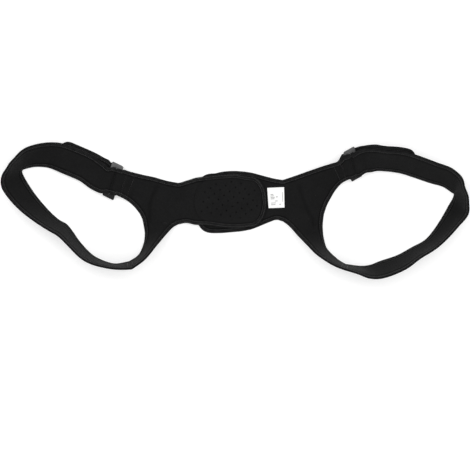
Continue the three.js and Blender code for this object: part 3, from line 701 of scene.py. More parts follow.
def panel_surface(half):
    """Middle surface of one half of the back."""
    sections, arm_start, neck_start = wing_sections(half)
    grid, offsets = section_points(sections)
    count = len(sections)
    neck_rows = np.arange(neck_start, neck_start + LINE_COUNT)
    tongue_grid = tongue_points(half)[1:]
    grid = settled(grid, arm_start)
    if half is LEFT:
        grid[..., 2] += climb(grid[..., 0])
        tongue_grid[..., 2] += climb(tongue_grid[..., 0])
    index = np.arange(count * LINE_COUNT).reshape(count, LINE_COUNT)
    tongue_index = np.arange(tongue_grid.shape[0] * LINE_COUNT).reshape(-1, LINE_COUNT) + index.size
    tongue_index = np.vstack([index[neck_rows, -1], tongue_index])
    points = np.vstack([grid.reshape(-1, 3), tongue_grid.reshape(-1, 3)])
    facing = np.repeat([part.normal for part in sections], LINE_COUNT, axis=0)
    wing_quads = turned_to(facing, points[: index.size], grid_quads(index))
    tongue_quads = turned_to(UP, points, grid_quads(tongue_index))
    lines = [
        grid[arm_start:, 0],
        grid[arm_start : neck_start + 1, -1],
        np.vstack([grid[neck_start, -1], tongue_grid[:, 0]]),
        np.vstack([grid[neck_rows[-1], -1], tongue_grid[:, -1]]),
        tongue_grid[-1],
        grid[neck_rows[-1] :, -1],
    ]
    bound = distance_to(lines, points)
    widths = np.array([part.width for part in sections])
    edge = np.minimum(offsets, widths[:, None] - offsets)
    along = run_along(grid[:arm_start])
    folded = np.minimum(edge[:arm_start], along[:, None]).reshape(-1)
    bound[: folded.size] = folded
    flat = points[:, :2].copy()
    flat[: folded.size, 0] -= np.repeat(along[-1] - along, LINE_COUNT) * half.side
    quads = np.vstack([wing_quads, tongue_quads])
    run = run_along(grid)
    run = run - run[arm_start]
    press = crease_shares(points)
    seams = []
    for seam in ARM_SEAMS:
        row = arm_start + int(np.argmin(np.abs(run[arm_start:] - seam)))
        seams.append(index[row])
        share = np.repeat(np.exp(-(((run - run[row]) / SEWN_WIDTH) ** 2)), LINE_COUNT)
        share = share * smooth(bound[: share.size], EDGE_SEAM - 1, EDGE_SEAM + 1)
        press[: share.size] = np.maximum(press[: share.size], share)
    seams.append(index[int(np.argmin(np.abs(run[-1] - run - SEWN_ROW)))])
    return Surface(points, quads, flat, bound, PANEL_THICKNESS, press, seams)


def ring_distance(half, points):
    """Share of the way from a ring, where the cloth is pressed full, to the free cloth."""
    centre = RingFrame(half).point(0, BAR_BASE, STRAP_WIDTH / 2)
    return smooth(np.linalg.norm(points - centre, axis=1), FULL_REACH, FULL_REACH + PINCH_LENGTH)


def face_heights(surface, free):
    """Distance of a face from the middle surface."""
    full = surface.thickness / 2
    past_seam = surface.bound - EDGE_SEAM
    tape = full - TAPE_DROP * free
    step = SEAM_STEP * free
    core = tape - step + (full - tape + step) * smooth(past_seam, 0, PUFF_LENGTH)
    past_tape = smooth(past_seam, *TAPE_END)
    height = tape * (1 - past_tape) + core * past_tape
    dip = np.exp(-(((surface.bound - STITCH_LINE) / STITCH_DIP_WIDTH) ** 2))
    height = height - STITCH_DIP * free * dip
    share = np.clip(surface.bound / EDGE_RADIUS, 0, 1)
    return height * np.sqrt(1 - (1 - share) ** 2)


def crease_shares(points):
    """How deeply each point lies in a crease, one at most."""
    pressed = np.zeros(len(points))
    level = points * (1, 1, 0)
    for crease in CREASES:
        curve = np.array([(x, y, 0.0) for x, y in crease.points])
        places = np.linspace(0, len(curve) - 1, CREASE_STEPS)
        curve = np.array([between(curve, place) for place in places])
        away = distance_to([curve], level)
        pressed = np.maximum(pressed, crease.depth * np.exp(-((away / crease.width) ** 2)))
    return pressed


def ripple_depths(points, seed):
    """Slight unevenness of the soft core."""
    values = [noise.noise(Vector(point / RIPPLE_LENGTH) + Vector((seed, 0, 0))) for point in points]
    return RIPPLE_DEPTH * (0.5 + 0.5 * np.array(values))


def shift():
    """Where the middle of the back lies in the shared frame, in metres."""
    low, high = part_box("care_label")
    x, y = label_place()
    return np.array([(low.x + high.x) / 2 - x * MM, (low.y + high.y) / 2 - y * MM, 0.0])


def label_place():
    """Middle of the label before its small shift."""
    x = neck_x(LEFT) + LEFT.tongue.length + LABEL_CLEARANCE + LABEL_WIDTH / 2
    middle, _ = tongue_edge(RIGHT, neck_x(RIGHT) - x)
    return x, middle + LABEL_RISE


def new_object(name, points, faces, look=None, cloth=None):
    """A smooth mesh object from points in millimetres; cloth holds each point's flat place."""
    mesh = bpy.data.meshes.new(name)
    mesh.from_pydata((np.asarray(points) * MM + shift()).tolist(), [], [list(face) for face in faces])
    mesh.validate()
    if look is not None:
        mesh.materials.append(look)
    mesh.polygons.foreach_set("use_smooth", [True] * len(mesh.polygons))
    if cloth is not None:
        layer = mesh.attributes.new("cloth", "FLOAT_VECTOR", "POINT")
        cloth = np.asarray(cloth, float)
        layer.data.foreach_set("vector", (cloth[:, :3] * MM).astype(np.float32).ravel())
        if cloth.shape[1] > 3:
            layer = mesh.attributes.new("press", "FLOAT", "POINT")
            layer.data.foreach_set("value", cloth[:, 3].astype(np.float32))
    thing = bpy.data.objects.new(name, mesh)
    bpy.context.scene.collection.objects.link(thing)
    return thing


def lower_numbers(rim):
    """Vertex numbers of a lower face that shares the points of the rim with the upper one."""
    return np.where(rim, np.arange(len(rim)), len(rim) + np.cumsum(~rim) - 1)


def faces_of(surface, upper, lower):
    """Closed cloth: the faces meet in the points of the rim, and a sewn end is square."""
    rim = surface.bound <= ON_RIM
    low_index = lower_numbers(rim)
    points = np.vstack([
        surface.points + surface.normals * upper[:, None],
        (surface.points - surface.normals * lower[:, None])[~rim],
    ])
    faces = [*surface.quads, *low_index[surface.quads][:, ::-1]]
    following = np.roll(surface.quads, -1, axis=1)
    sides = set(zip(surface.quads.ravel(), following.ravel()))
    for a, b in sorted(sides):
        if (b, a) not in sides and not (rim[a] and rim[b]):
            faces.append(list(dict.fromkeys([b, a, low_index[a], low_index[b]])))
    cloth = np.column_stack([surface.flat, surface.bound, surface.press])
    under = cloth[~rim] * (1, 1, 1, 0)
    return points, faces, np.vstack([cloth, under])


def level_lines(surface, level):
    """Polylines over the quads where the distance to the bound edge has this value."""
    value = surface.bound - level
    links, spots = {}, {}
    near = np.abs(value[surface.quads]).min(axis=1) < NEAR_LINE
    for quad in surface.quads[near]:
        ends = []
        for a, b in zip(quad, np.roll(quad, -1)):
            if (value[a] < 0) == (value[b] < 0):
                continue
            key = (min(a, b), max(a, b))
            share = value[key[0]] / (value[key[0]] - value[key[1]])
            spots[key] = (key[0], key[1], share)
            ends.append(key)
        if len(ends) == 2:
            links.setdefault(ends[0], []).append(ends[1])
            links.setdefault(ends[1], []).append(ends[0])
    lines, seen = [], set()
    for start in sorted(links, key=lambda key: len(links[key])):
        if start in seen:
            continue
        line, here = [start], start
        seen.add(start)
        while True:
            onward = [key for key in links[here] if key not in seen]
            if not onward:
                break
            here = onward[0]
            seen.add(here)
            line.append(here)
        if len(line) > 3:
            lines.append([spots[key] for key in line])
    return lines


def along_line(points, normals, pitch):
    """Middle, direction and outward normal of each stitch along a line of points."""
    places = []
    run = running_length(points)
    for goal in np.arange(pitch / 2, run[-1], pitch):
        ends = [
            [np.interp(goal + step, run, points[:, axis]) for axis in range(3)]
            for step in (-pitch / 3, 0, pitch / 3)
        ]
        normal = np.array([np.interp(goal, run, normals[:, axis]) for axis in range(3)])
        along = np.array(ends[2]) - np.array(ends[0])
        if np.linalg.norm(along) > pitch / 4:
            places.append((np.array(ends[1]), along / np.linalg.norm(along), normal))
    return places


def stitch_places(surface, lines, heights, way, pitch):
    """Stitches along lines that cross the quads of one face."""
    face = surface.points + surface.normals * (heights * way)[:, None]
    places = []
    for line in lines:
        a, b = np.array([spot[0] for spot in line]), np.array([spot[1] for spot in line])
        share = np.array([spot[2] for spot in line])[:, None]
        points = face[a] + (face[b] - face[a]) * share
        normals = (surface.normals[a] + (surface.normals[b] - surface.normals[a]) * share) * way
        places += along_line(points, normals, pitch)
    return places


def zigzag(places):
    """Turns stitches to and fro about the line that they follow."""
    turned = []
    for number, (middle, along, normal) in enumerate(places):
        side = np.cross(normal, along) * (ZIGZAG if number % 2 else -ZIGZAG)
        turned.append((middle, (along + side) / np.linalg.norm(along + side), normal))
    return turned


# Rings of points round a stitch: along it in shares of its length, then height and thickness in
# shares of the thread's radius
STITCH_RINGS = (
    (-0.5, -0.55, 0.5), (-0.36, 0.1, 0.9), (-0.12, 0.42, 1.0),
    (0.12, 0.42, 1.0), (0.36, 0.1, 0.9), (0.5, -0.55, 0.5),
)
STITCH_SIDES = 6


def stitch_mesh(places, length, radius):
    """Points, faces and places along the thread of short arched stitches."""
    points, faces, cloth = [], [], []
    rings = len(STITCH_RINGS)
    for number, (middle, along, normal) in enumerate(places):
        normal = normal - along * np.dot(normal, along)
        normal = normal / np.linalg.norm(normal)
        side = np.cross(along, normal)
        base = len(points)
        for share, height, thick in STITCH_RINGS:
            centre = middle + along * (share * length) + normal * (height * radius)
            centre[2] = max(centre[2], radius * thick)
            for k in range(STITCH_SIDES):
                angle = 2 * math.pi * k / STITCH_SIDES
                around = side * math.cos(angle) + normal * math.sin(angle)
                points.append(centre + around * radius * thick)
                cloth.append((number * length + share * length, angle, 0))
        for ring in range(rings - 1):
            for k in range(STITCH_SIDES):
                a = base + ring * STITCH_SIDES + k
                b = base + ring * STITCH_SIDES + (k + 1) % STITCH_SIDES
                faces.append((a, a + STITCH_SIDES, b + STITCH_SIDES, b))
        first = [base + k for k in range(STITCH_SIDES)]
        faces.append(first)
        faces.append([vertex + (rings - 1) * STITCH_SIDES for vertex in first[::-1]])
    return points, faces, cloth


class Wire:
    """One output in a material; arithmetic on it adds Math nodes."""

    def __init__(self, look, socket):
        self.look = look
        self.socket = socket

    def _math(self, operation, *values):
        return self.look.add("ShaderNodeMath", {"operation": operation}, dict(enumerate(values)))

    def __add__(self, other):
        return self._math("ADD", self, other)

    __radd__ = __add__

    def __sub__(self, other):
        return self._math("SUBTRACT", self, other)

    def __rsub__(self, other):
        return self._math("SUBTRACT", other, self)

    def __mul__(self, other):
        return self._math("MULTIPLY", self, other)

    __rmul__ = __mul__

    def __truediv__(self, other):
        return self._math("DIVIDE", self, other)

    def __rtruediv__(self, other):
        return self._math("DIVIDE", other, self)

    def __lt__(self, other):
        return self._math("LESS_THAN", self, other)

    def __gt__(self, other):
        return self._math("GREATER_THAN", self, other)

    def __pow__(self, other):
        return self._math("POWER", self, other)

    def __rpow__(self, other):
        return self._math("POWER", other, self)

    def wave(self):
        return self._math("SINE", self)

    def bell(self, middle, width):
        """One at the middle, falling away on both sides."""
        return self._math("EXPONENT", ((self - middle) / width) ** 2 * -1)

    def rise(self, low, high):
        """Zero up to low, one from high, and smooth between them."""
        values = {"Value": self, "From Min": low, "From Max": high}
        return self.look.add("ShaderNodeMapRange", {"interpolation_type": "SMOOTHSTEP"}, values)


class Look:
    """A material and the nodes that its finish is made of."""

    def __init__(self, name):
        self.material = bpy.data.materials.new(name)
        self.material.use_nodes = True
        self.tree = self.material.node_tree
        self.shader = next(node for node in self.tree.nodes if node.type == "BSDF_PRINCIPLED")

    def add(self, kind, settings=None, inputs=None, output=0):
        """A node of this kind, with its settings made first; gives one of its outputs."""
        node = self.tree.nodes.new(kind)
        for key, value in (settings or {}).items():
            setattr(node, key, value)
        for key, value in (inputs or {}).items():
            self.join(node.inputs[key], value)
        return Wire(self, node.outputs[output])

    def join(self, socket, value):
        if isinstance(value, Wire):
            self.tree.links.new(value.socket, socket)
        elif hasattr(value, "__len__") and len(value) == 3 and socket.type == "RGBA":
            socket.default_value = (*value, 1)
        else:
            socket.default_value = value

    def blend(self, share, first, second):
        """Colours mixed by a share."""
        settings = {"data_type": "RGBA"}
        return self.add("ShaderNodeMix", settings, {0: share, 6: first, 7: second}, output=2)

    def cloth_place(self):
        """Along, across and distance to the edge, in metres."""
        place = self.add("ShaderNodeAttribute", {"attribute_name": "cloth"}, output=1)
        return [self.add("ShaderNodeSeparateXYZ", None, {0: place}, output=axis) for axis in range(3)]

    def object_place(self):
        return self.add("ShaderNodeTexCoord", output=3)

    def speckle(self, place, scale, detail=2.0, roughness=0.5):
        values = {"Vector": place, "Scale": scale, "Detail": detail, "Roughness": roughness}
        return self.add("ShaderNodeTexNoise", None, values)

    def bump(self, height, strength, distance):
        values = {"Height": height, "Strength": strength, "Distance": distance}
        return self.add("ShaderNodeBump", None, values)

    def finish(self, **values):
        """Values and links of the shader's own sockets, with spaces written as underscores."""
        for key, value in values.items():
            self.join(self.shader.inputs[key.replace("_", " ")], value)
        return self.material


# Widths in metres, and how strongly each painted shade darkens the cloth
TAPE_BLUR = 0.0003
GROOVE_AT, GROOVE_WIDTH, GROOVE_SHADE = 0.0006, 0.0011, 0.8
LIP_START, LIP_END, LIP_SHADE = 0.0003, 0.0016, 0.7
PAD_SEAM_START, PAD_SEAM_END, PAD_SEAM_SHADE = 0.0002, 0.0022, 0.85
VENT_BLUR, VENT_SHADE = 0.0005, 0.6
PRESS_SHADE = 0.55
LINT_BRIGHT = 0.35
# Waves in radians per metre
THREAD_TWIST = 5200.0
LABEL_WARP, LABEL_WEFT = 9000.0, 5200.0
# Scales of the speckles, per metre
GRAIN_SCALE = 420.0
PATCH_SCALE = 190.0
CLOUD_SCALE = 28.0
PAD_CLOUD_SCALE = 36.0
LINT_SCALE = 70.0
FLOW_SCALE = 90.0
RUB_SCALE = 900.0
FLECK_SCALE = 600.0
FLOOR_SCALE = 2.0
LINT_SIZE = 0.022
LINT_COLOUR = (0.16, 0.16, 0.15)
# colours of painted shade: in grooves and creases, on the rounded rim, round the pad's seam and in its
# vents
PAINTED_SHADE_COLOUR = (0.0012, 0.0012, 0.0013)
LIP_SHADE_COLOUR = (0.002, 0.002, 0.0021)
PAD_SEAM_SHADE_COLOUR = (0.0015, 0.0015, 0.0016)
VENT_SHADE_COLOUR = (0.0012, 0.0012, 0.0012)
KNIT_RELIEF = 0.00025


def knitted(look, settings, cloud_scale, shade):
    """Grain and colour of a knitted face that is a little uneven."""
    place = look.object_place()
    grain = look.speckle(place, GRAIN_SCALE, 3.0, 0.6)
    cloud = look.speckle(place, cloud_scale)
    shade = shade + (grain - 0.5) * 0.9 + (cloud - 0.5) * 0.4
    return grain, look.blend(shade.rise(0.5, 1.25), settings.cloth_dark, settings.cloth_light)


def with_lint(look, colour):
    """A few pale specks of lint on the colour."""
    values = {"Vector": look.object_place(), "Scale": LINT_SCALE}
    fluff = look.add("ShaderNodeTexVoronoi", None, values)
    return look.blend((fluff < LINT_SIZE) * LINT_BRIGHT, colour, LINT_COLOUR)


def napped(look, settings, colour, roughness, normal):
    """Finish that all the knitted faces share."""
    return look.finish(
        Base_Color=colour,
        Roughness=roughness,
        Normal=normal,
        Sheen_Weight=settings.sheen,
        Sheen_Roughness=0.45,
        Specular_IOR_Level=0.08,
    )


def cloth_look(name, settings):
    """Knitted cloth over foam with a ribbed tape along its bound edges, and painted shade in grooves,
    creases and on the rounded rim.
    """
    look = Look(name)
    along, across, edge = look.cloth_place()
    seam = settings.seam_distance
    tape = 1 - edge.rise(seam - TAPE_BLUR, seam + TAPE_BLUR)
    groove = edge.bell(seam + GROOVE_AT, GROOVE_WIDTH)
    lip_shade = 1 - edge.rise(LIP_START, LIP_END)
    press = look.add("ShaderNodeAttribute", {"attribute_name": "press"}, output=2)
    grain, core_colour = knitted(look, settings, CLOUD_SCALE, 0.86)
    patch = look.speckle(look.object_place(), PATCH_SCALE, 2.0, 0.7)
    tape_colour = look.blend(patch.rise(0.36, 0.64), settings.tape_dark, settings.tape_light)
    colour = look.blend(tape, core_colour, tape_colour)
    # painted shade: the colour darkens in the groove beside the tape, in creases and sewn rows, and on
    # the rounded rim
    colour = look.blend(groove * GROOVE_SHADE, colour, PAINTED_SHADE_COLOUR)
    colour = look.blend(press * PRESS_SHADE, colour, PAINTED_SHADE_COLOUR)
    colour = look.blend(lip_shade * LIP_SHADE, colour, LIP_SHADE_COLOUR)
    ribs = (along * (2 * math.pi / settings.knit_pitch)).wave()
    rows = (across * (2 * math.pi / settings.knit_pitch)).wave()
    knit = ribs * rows * 0.5 + (grain - 0.5)
    tape_ribs = (along * (2 * math.pi / settings.tape_rib_pitch)).wave() * 0.6 + (patch - 0.5)
    normal = look.bump(knit * (1 - tape) + tape_ribs * tape, 0.55, KNIT_RELIEF)
    return napped(look, settings, with_lint(look, colour), 0.82 + (grain - 0.5) * 0.2, normal)


def thread_look(name, settings):
    """Twisted sewing thread, with painted shade in the hollows of its twist and painted light on its
    crests.
    """
    look = Look(name)
    along, around, _ = look.cloth_place()
    twist = (along * THREAD_TWIST + around / MM).wave()
    colour = look.blend(twist * 0.5 + 0.5, settings.thread_hollow_shade, settings.thread_crest_light)
    return look.finish(
        Base_Color=colour,
        Roughness=0.55,
        Normal=look.bump(twist, 0.5, 0.0001),
        Sheen_Weight=0.2,
    )


def plastic_look(settings):
    """Moulded plastic with a painted highlight, in place of reflected light, and a coat at its upper
    end, faint flow marks and rubbed places.
    """
    look = Look("moulded_plastic")
    place = look.object_place()
    _, along, highlight_share = look.cloth_place()
    # painted highlight: the base colour grows lighter towards the ring's upper end in place of
    # reflected light; the same share sets its coat
    highlight_and_coat = along.rise(HIGHLIGHT_START * MM, SLOT_HIGH * MM) * highlight_share / MM
    flow = look.speckle(place, FLOW_SCALE, 4.0, 0.6)
    rubbed = look.speckle(place, RUB_SCALE)
    marks = highlight_and_coat * (0.45 + flow.rise(0.3, 0.7) * 0.55)
    colour = look.blend(marks, settings.plastic_dark, settings.plastic_highlight)
    return look.finish(
        Base_Color=colour,
        Roughness=settings.plastic_roughness + (rubbed - 0.5) * 0.12 + (flow - 0.5) * 0.1,
        Normal=look.bump(flow + rubbed * 0.3, 0.25, 0.0003),
        Coat_Weight=highlight_and_coat * 0.8,
        Coat_Roughness=0.12,
        Specular_IOR_Level=0.2,
    )


LABEL_BARS = (
    # left, right, bottom, top in millimetres from the label's middle
    (-9.4, -4.5, 5.2, 6.4),
    (-9.4, -3.5, 2.7, 3.9),
    (-9.4, -2.3, 0.2, 1.4),
    (-9.4, -3.0, -2.3, -1.1),
    (-0.4, 2.8, 0.6, 2.0),
    (-2.4, 2.4, -6.3, -5.1),
    (-9.0, -0.5, -9.5, -8.4),
    (-9.0, -1.5, -12.4, -11.2),
    (5.2, 7.4, -12.4, -10.8),
    (10.6, 11.5, -7.7, 9.4),
)


def label_look(settings):
    """White woven tape with faint plain bars."""
    look = Look("woven_label")
    x, y, _ = look.cloth_place()
    ink = None
    for left, right, bottom, top in LABEL_BARS:
        bar = (x > left * MM) * (x < right * MM) * (y > bottom * MM) * (y < top * MM)
        ink = bar if ink is None else ink + bar
    weave = (x * LABEL_WARP).wave() * 0.5 + (y * LABEL_WEFT).wave() * 0.5
    fleck = look.speckle(look.object_place(), FLECK_SCALE)
    ink = ink * (0.85 + (fleck - 0.5) * 0.8)
    colour = look.blend(weave * 0.5 + 0.5, settings.label_light, settings.label_dark)
    colour = look.blend(ink, colour, settings.label_ink)
    return look.finish(
        Base_Color=colour,
        Roughness=0.75,
        Normal=look.bump(weave, 0.35, 0.00012),
        Sheen_Weight=0.1,
    )


def floor_look(settings):
    """Plain pale table top."""
    look = Look("pale_floor")
    cloud = look.speckle(look.object_place(), FLOOR_SCALE)
    low, high = (tuple(share * value for value in settings.floor_colour) for share in FLOOR_SHADES)
    return look.finish(
        Base_Color=look.blend(cloud, low, high),
        Roughness=0.9,
        Emission_Color=(1.0, 1.0, 1.0),
        Emission_Strength=settings.floor_glow,
    )


def colour_property(name, description, value):
    return FloatVectorProperty(
        name=name, description=description, default=value, size=3, min=0, max=1, subtype="COLOR"
    )


def length_property(name, description, millimetres):
    return FloatProperty(
        name=name, description=description, default=millimetres * MM, min=0, unit="LENGTH"
    )


def share_property(name, description, value):
    return FloatProperty(
        name=name, description=description, default=value, min=0, max=1, subtype="FACTOR"
    )


class CorrectorCloth(bpy.types.PropertyGroup):
    """Sizes and colours of the padded cloth."""

    seam_distance: length_property("Seam distance", "From the edge to the tape's seam", EDGE_SEAM)
    stitch_pitch: length_property("Stitch pitch", "From one stitch to the next", 3.1)
    stitch_length: length_property("Stitch length", "Thread that shows in one stitch", 2.5)
    thread_radius: length_property("Thread radius", "Half the thickness of the sewing thread", 0.3)
    knit_pitch: length_property("Knit pitch", "One loop of the knitted face", 0.9)
    tape_rib_pitch: length_property("Tape rib pitch", "One rib of the edge tape", 1.1)
    sheen: share_property("Sheen", "Soft light on the nap", 0.05)
    cloth_dark: colour_property("Cloth, dark", "Hollows of the knit", (0.004, 0.004, 0.0041))
    cloth_light: colour_property("Cloth, light", "Crests of the knit", (0.0095, 0.0095, 0.0097))
    tape_dark: colour_property("Tape, dark", "Hollows of the edge tape", (0.005, 0.005, 0.0052))
    tape_light: colour_property("Tape, light", "Crests of the edge tape", (0.0118, 0.0118, 0.012))
    # painted shade and light on the thread: its colour follows the twist, darker in the hollows and
    # lighter on the crests
    thread_hollow_shade: colour_property("Thread, dark", "Hollows of the thread", (0.004, 0.004, 0.004))
    thread_crest_light: colour_property("Thread, light", "Crests of the thread", (0.013, 0.013, 0.013))


class CorrectorFittings(bpy.types.PropertyGroup):
    """Finish of the buckles and the label."""

    plastic_dark: colour_property("Plastic, dark", "Base of the plastic", (0.006, 0.006, 0.0062))
    # painted highlight: this light colour of the ring's upper end stands in for reflected light
    plastic_highlight: colour_property("Plastic, light", "Its polished end", (0.1, 0.1, 0.102))
    plastic_roughness: share_property("Plastic roughness", "Gloss of the buckles", 0.3)
    label_light: colour_property("Label, light", "Face of the woven tape", (0.9, 0.9, 0.89))
    label_dark: colour_property("Label, dark", "Between its threads", (0.78, 0.78, 0.77))
    label_ink: colour_property("Label bars", "Faint plain bars", (0.17, 0.17, 0.17))


class CorrectorStage(bpy.types.PropertyGroup):
    """Floor, light and camera."""

    floor_colour: colour_property("Floor", "Plain pale floor", (0.72, 0.72, 0.72))
    floor_glow: FloatProperty(
        name="Floor glow", description="Light that the table gives by itself", default=0.38, min=0
    )
    view_width: length_property("View width", "Width that the picture takes in", 805.0)
    lens: FloatProperty(
        name="Lens", description="Focal length of the camera", default=300.0, unit="CAMERA"
    )
    sky_strength: FloatProperty(name="Sky", description="Even light from all round", default=0.95)
    key_power: FloatProperty(
        name="Key light", description="Power of the main soft light", default=14.0, unit="POWER"
    )


def shared_look(name, make, settings):
    """A material that several operators use, made by the first of them."""
    return bpy.data.materials.get(name) or make(name, settings)


RIPPLE_SEEDS = {
    "left_back_cloth": 0.0,
    "right_back_cloth": 40.0,
    "left_shoulder_band": 80.0,
    "right_shoulder_band": 120.0,
}


def cloth_piece(context, name, node, half, surface, overcast=False):
    """A closed padded piece of cloth and its stitches; overcast adds slanting ones on a tongue."""
    settings = context.scene.corrector_cloth
    seed = RIPPLE_SEEDS[name]
    free = ring_distance(half, surface.points)
    heights = face_heights(surface, free)
    core = smooth(surface.bound - EDGE_SEAM, *CORE_START) * free
    upper = heights - ripple_depths(surface.points, seed) * core
    if surface.press.any():
        upper = upper - PRESS_DEPTH * surface.press * smooth(surface.bound, 0, PRESS_START)
    lower = heights - ripple_depths(surface.points, seed + LOWER_RIPPLE) * core
    points, faces, cloth = faces_of(surface, upper, lower)
    look = shared_look("bound_cloth", cloth_look, settings)
    piece = new_object(name, points, faces, look, cloth)
    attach(piece, "root")
    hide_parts(node)
    lines = level_lines(surface, STITCH_LINE)
    pitch = settings.stitch_pitch / MM
    places = stitch_places(surface, lines, upper, 1, pitch)
    places += stitch_places(surface, lines, lower, -1, pitch)
    face = surface.points + surface.normals * upper[:, None]
    for row in surface.seams:
        row = row[surface.bound[row] > EDGE_SEAM]
        places += along_line(face[row], surface.normals[row], pitch)
    if overcast:
        edge = stitch_places(surface, level_lines(surface, ZIGZAG_LINE), upper, 1, ZIGZAG_PITCH)
        places += zigzag([place for place in edge if place[0][0] > neck_x(half)])
    length, radius = settings.stitch_length / MM, settings.thread_radius / MM
    points, faces, cloth = stitch_mesh(places, length, radius)
    thread = shared_look("sewing_thread", thread_look, settings)
    sewing = new_object(name + "_stitching", points, faces, thread, cloth)
    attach(sewing, "root")


class CORRECTOR_OT_back_panels(bpy.types.Operator):
    """Make the two halves of the back, with their wings, tongues and turned arms."""

    bl_idname = "corrector.back_panels"
    bl_label = "Back panels"

    def execute(self, context):
        left, right = panel_surface(LEFT), panel_surface(RIGHT)
        cloth_piece(context, "left_back_cloth", "left_back_panel", LEFT, left, overcast=True)
        cloth_piece(context, "right_back_cloth", "right_back_panel", RIGHT, right)
        return {"FINISHED"}


class CORRECTOR_OT_shoulder_straps(bpy.types.Operator):
    """Make the two shoulder straps with their folds and turned-back ends."""

    bl_idname = "corrector.shoulder_straps"
    bl_label = "Shoulder straps"

    def execute(self, context):
        left, right = strap_surface(LEFT), strap_surface(RIGHT)
        cloth_piece(context, "left_shoulder_band", "left_shoulder_strap", LEFT, left)
        cloth_piece(context, "right_shoulder_band", "right_shoulder_strap", RIGHT, right)
        return {"FINISHED"}


PAD_END = LEFT.tongue.length - EDGE_SEAM  # both from the tongue's neck
PAD_START = PAD_END - PAD_LENGTH
PAD_ROWS = 96
PAD_LINES = 60
PAD_TIP = 0.03  # half height that the pad keeps at its ends
PAD_EDGE_RADIUS = 1.4
PAD_EDGE_SHARE = 0.86  # height near the edge, in shares of that in the middle
PAD_TAPER = 34.0  # the pad's near end thins out over this length
PAD_NEAR_SHARE = 0.3
PAD_RIPPLE = 0.5
PAD_PUFF = (2.0, 16.0)  # from the edge to the full height
PAD_RIPPLE_START = (2.0, 8.0)
SEAM_TAPER_START = 6.0
PAD_SEED = 200.0
SEAM_NEAR_SHARE = 0.35  # share of its width that the seam's shade has at the near end
VENT_SIDES = 20
PUNCH_REACH = 1.0


def pad_edge(distance):
    """Middle line and half height of the pad at a distance from the tongue's neck."""
    middle, high = tongue_edge(LEFT, distance, EDGE_SEAM)
    back = max(0.0, 1 - (distance - PAD_START) / (PAD_NEAR_CAP * PAD_LENGTH))
    return middle, high * math.sqrt(max(0.0, 1 - back * back))


def swung(x, y, degrees):
    """A point turned round the origin."""
    angle = math.radians(degrees)
    return x * math.cos(angle) - y * math.sin(angle), x * math.sin(angle) + y * math.cos(angle)


def vent_places():
    """Square lattice with a vent in the middle of each square."""
    halfway = PAD_START + PAD_LENGTH / 2
    centre = np.array([neck_x(LEFT) + halfway, pad_edge(halfway)[0]])
    reach = math.ceil(PAD_LENGTH / VENT_PITCH) * 2
    places = []
    for i in range(-reach, reach + 1):
        for j in range(-reach, reach + 1):
            spot = centre + swung(i * VENT_PITCH / 2, j * VENT_PITCH / 2, VENT_ROW_ANGLE)
            clear = VENT_EDGE_DISTANCE + VENT_DIAMETER
            sides = [spot[0] - neck_x(LEFT) + way * clear for way in (-1, 1)]
            if (i + j) % 2 or min(sides) <= PAD_START or max(sides) >= PAD_END:
                continue
            edges = [pad_edge(side) for side in sides]
            if all(abs(spot[1] - middle) < high - VENT_EDGE_DISTANCE for middle, high in edges):
                places.append(spot)
    return places


def pad_grid():
    """Flat grid of the pad's points, with its rows closer together at both ends."""
    rows = []
    for i in range(PAD_ROWS + 1):
        distance = PAD_START + PAD_LENGTH / 2 * (1 - math.cos(math.pi * i / PAD_ROWS))
        middle, high = pad_edge(distance)
        across = -np.cos(np.pi * np.arange(PAD_LINES + 1) / PAD_LINES) * max(high, PAD_TIP)
        rows.append([(neck_x(LEFT) + distance, middle + y, 2 * ON_PANEL) for y in across])
    return np.array(rows)


def past_pad_start(points, start, end):
    """Smooth share from one distance past the pad's near end to another."""
    return smooth(points[:, 0] - neck_x(LEFT) - PAD_START, start, end)


def pad_mesh(grid, outline):
    """Points and faces of the pad before it is pierced."""
    points = grid.reshape(-1, 3)
    edge = distance_to(outline, points)
    near = past_pad_start(points, 0, PAD_TAPER)
    height = PAD_THICKNESS * (PAD_NEAR_SHARE + (1 - PAD_NEAR_SHARE) * near)
    share = np.clip(edge / PAD_EDGE_RADIUS, 0, 1)
    puffed = PAD_EDGE_SHARE + (1 - PAD_EDGE_SHARE) * smooth(edge, *PAD_PUFF)
    top = height * np.sqrt(1 - (1 - share) ** 2) * puffed
    top = top - PAD_RIPPLE * ripple_depths(points, PAD_SEED) * smooth(edge, *PAD_RIPPLE_START)
    index = np.arange(len(points)).reshape(PAD_ROWS + 1, PAD_LINES + 1)
    quads = turned_to(UP, points, grid_quads(index))
    rim = edge <= ON_RIM
    shaped = np.vstack([points + UP * top[:, None], points[~rim]])
    return shaped, np.vstack([quads, lower_numbers(rim)[quads][:, ::-1]])


def vent_punches(vents):
    """Points and faces of a short rod through each vent."""
    points, faces = [], []
    turn = 2 * math.pi * np.arange(VENT_SIDES) / VENT_SIDES
    for spot in vents:
        ring = np.arange(VENT_SIDES) + len(points)
        for z in (2 * ON_PANEL - PUNCH_REACH, 2 * ON_PANEL + PAD_THICKNESS + PUNCH_REACH):
            x = spot[0] + VENT_DIAMETER / 2 * np.cos(turn)
            y = spot[1] + VENT_DIAMETER / 2 * np.sin(turn)
            points.extend(zip(x, y, [z] * VENT_SIDES))
        faces.extend([ring[::-1], ring + VENT_SIDES])
        following = np.roll(ring, -1)
        faces.extend(np.column_stack([ring, following, following + VENT_SIDES, ring + VENT_SIDES]))
    return points, faces


def pierce(context, pad, punch):
    """Cuts the punches out of the pad and takes them away."""
    whole = len(pad.data.polygons)
    cut = pad.modifiers.new("vents", "BOOLEAN")
    cut.operation = "DIFFERENCE"
    cut.solver = "EXACT"
    cut.object = punch
    graph = context.evaluated_depsgraph_get()
    pierced = bpy.data.meshes.new_from_object(pad.evaluated_get(graph))
    pad.modifiers.clear()
    pad.data = pierced
    bpy.data.objects.remove(punch)
    if len(pierced.polygons) < whole:
        raise RuntimeError("the vents weren't cut into the pad")
    pierced.polygons.foreach_set("use_smooth", [True] * len(pierced.polygons))
    return pierced


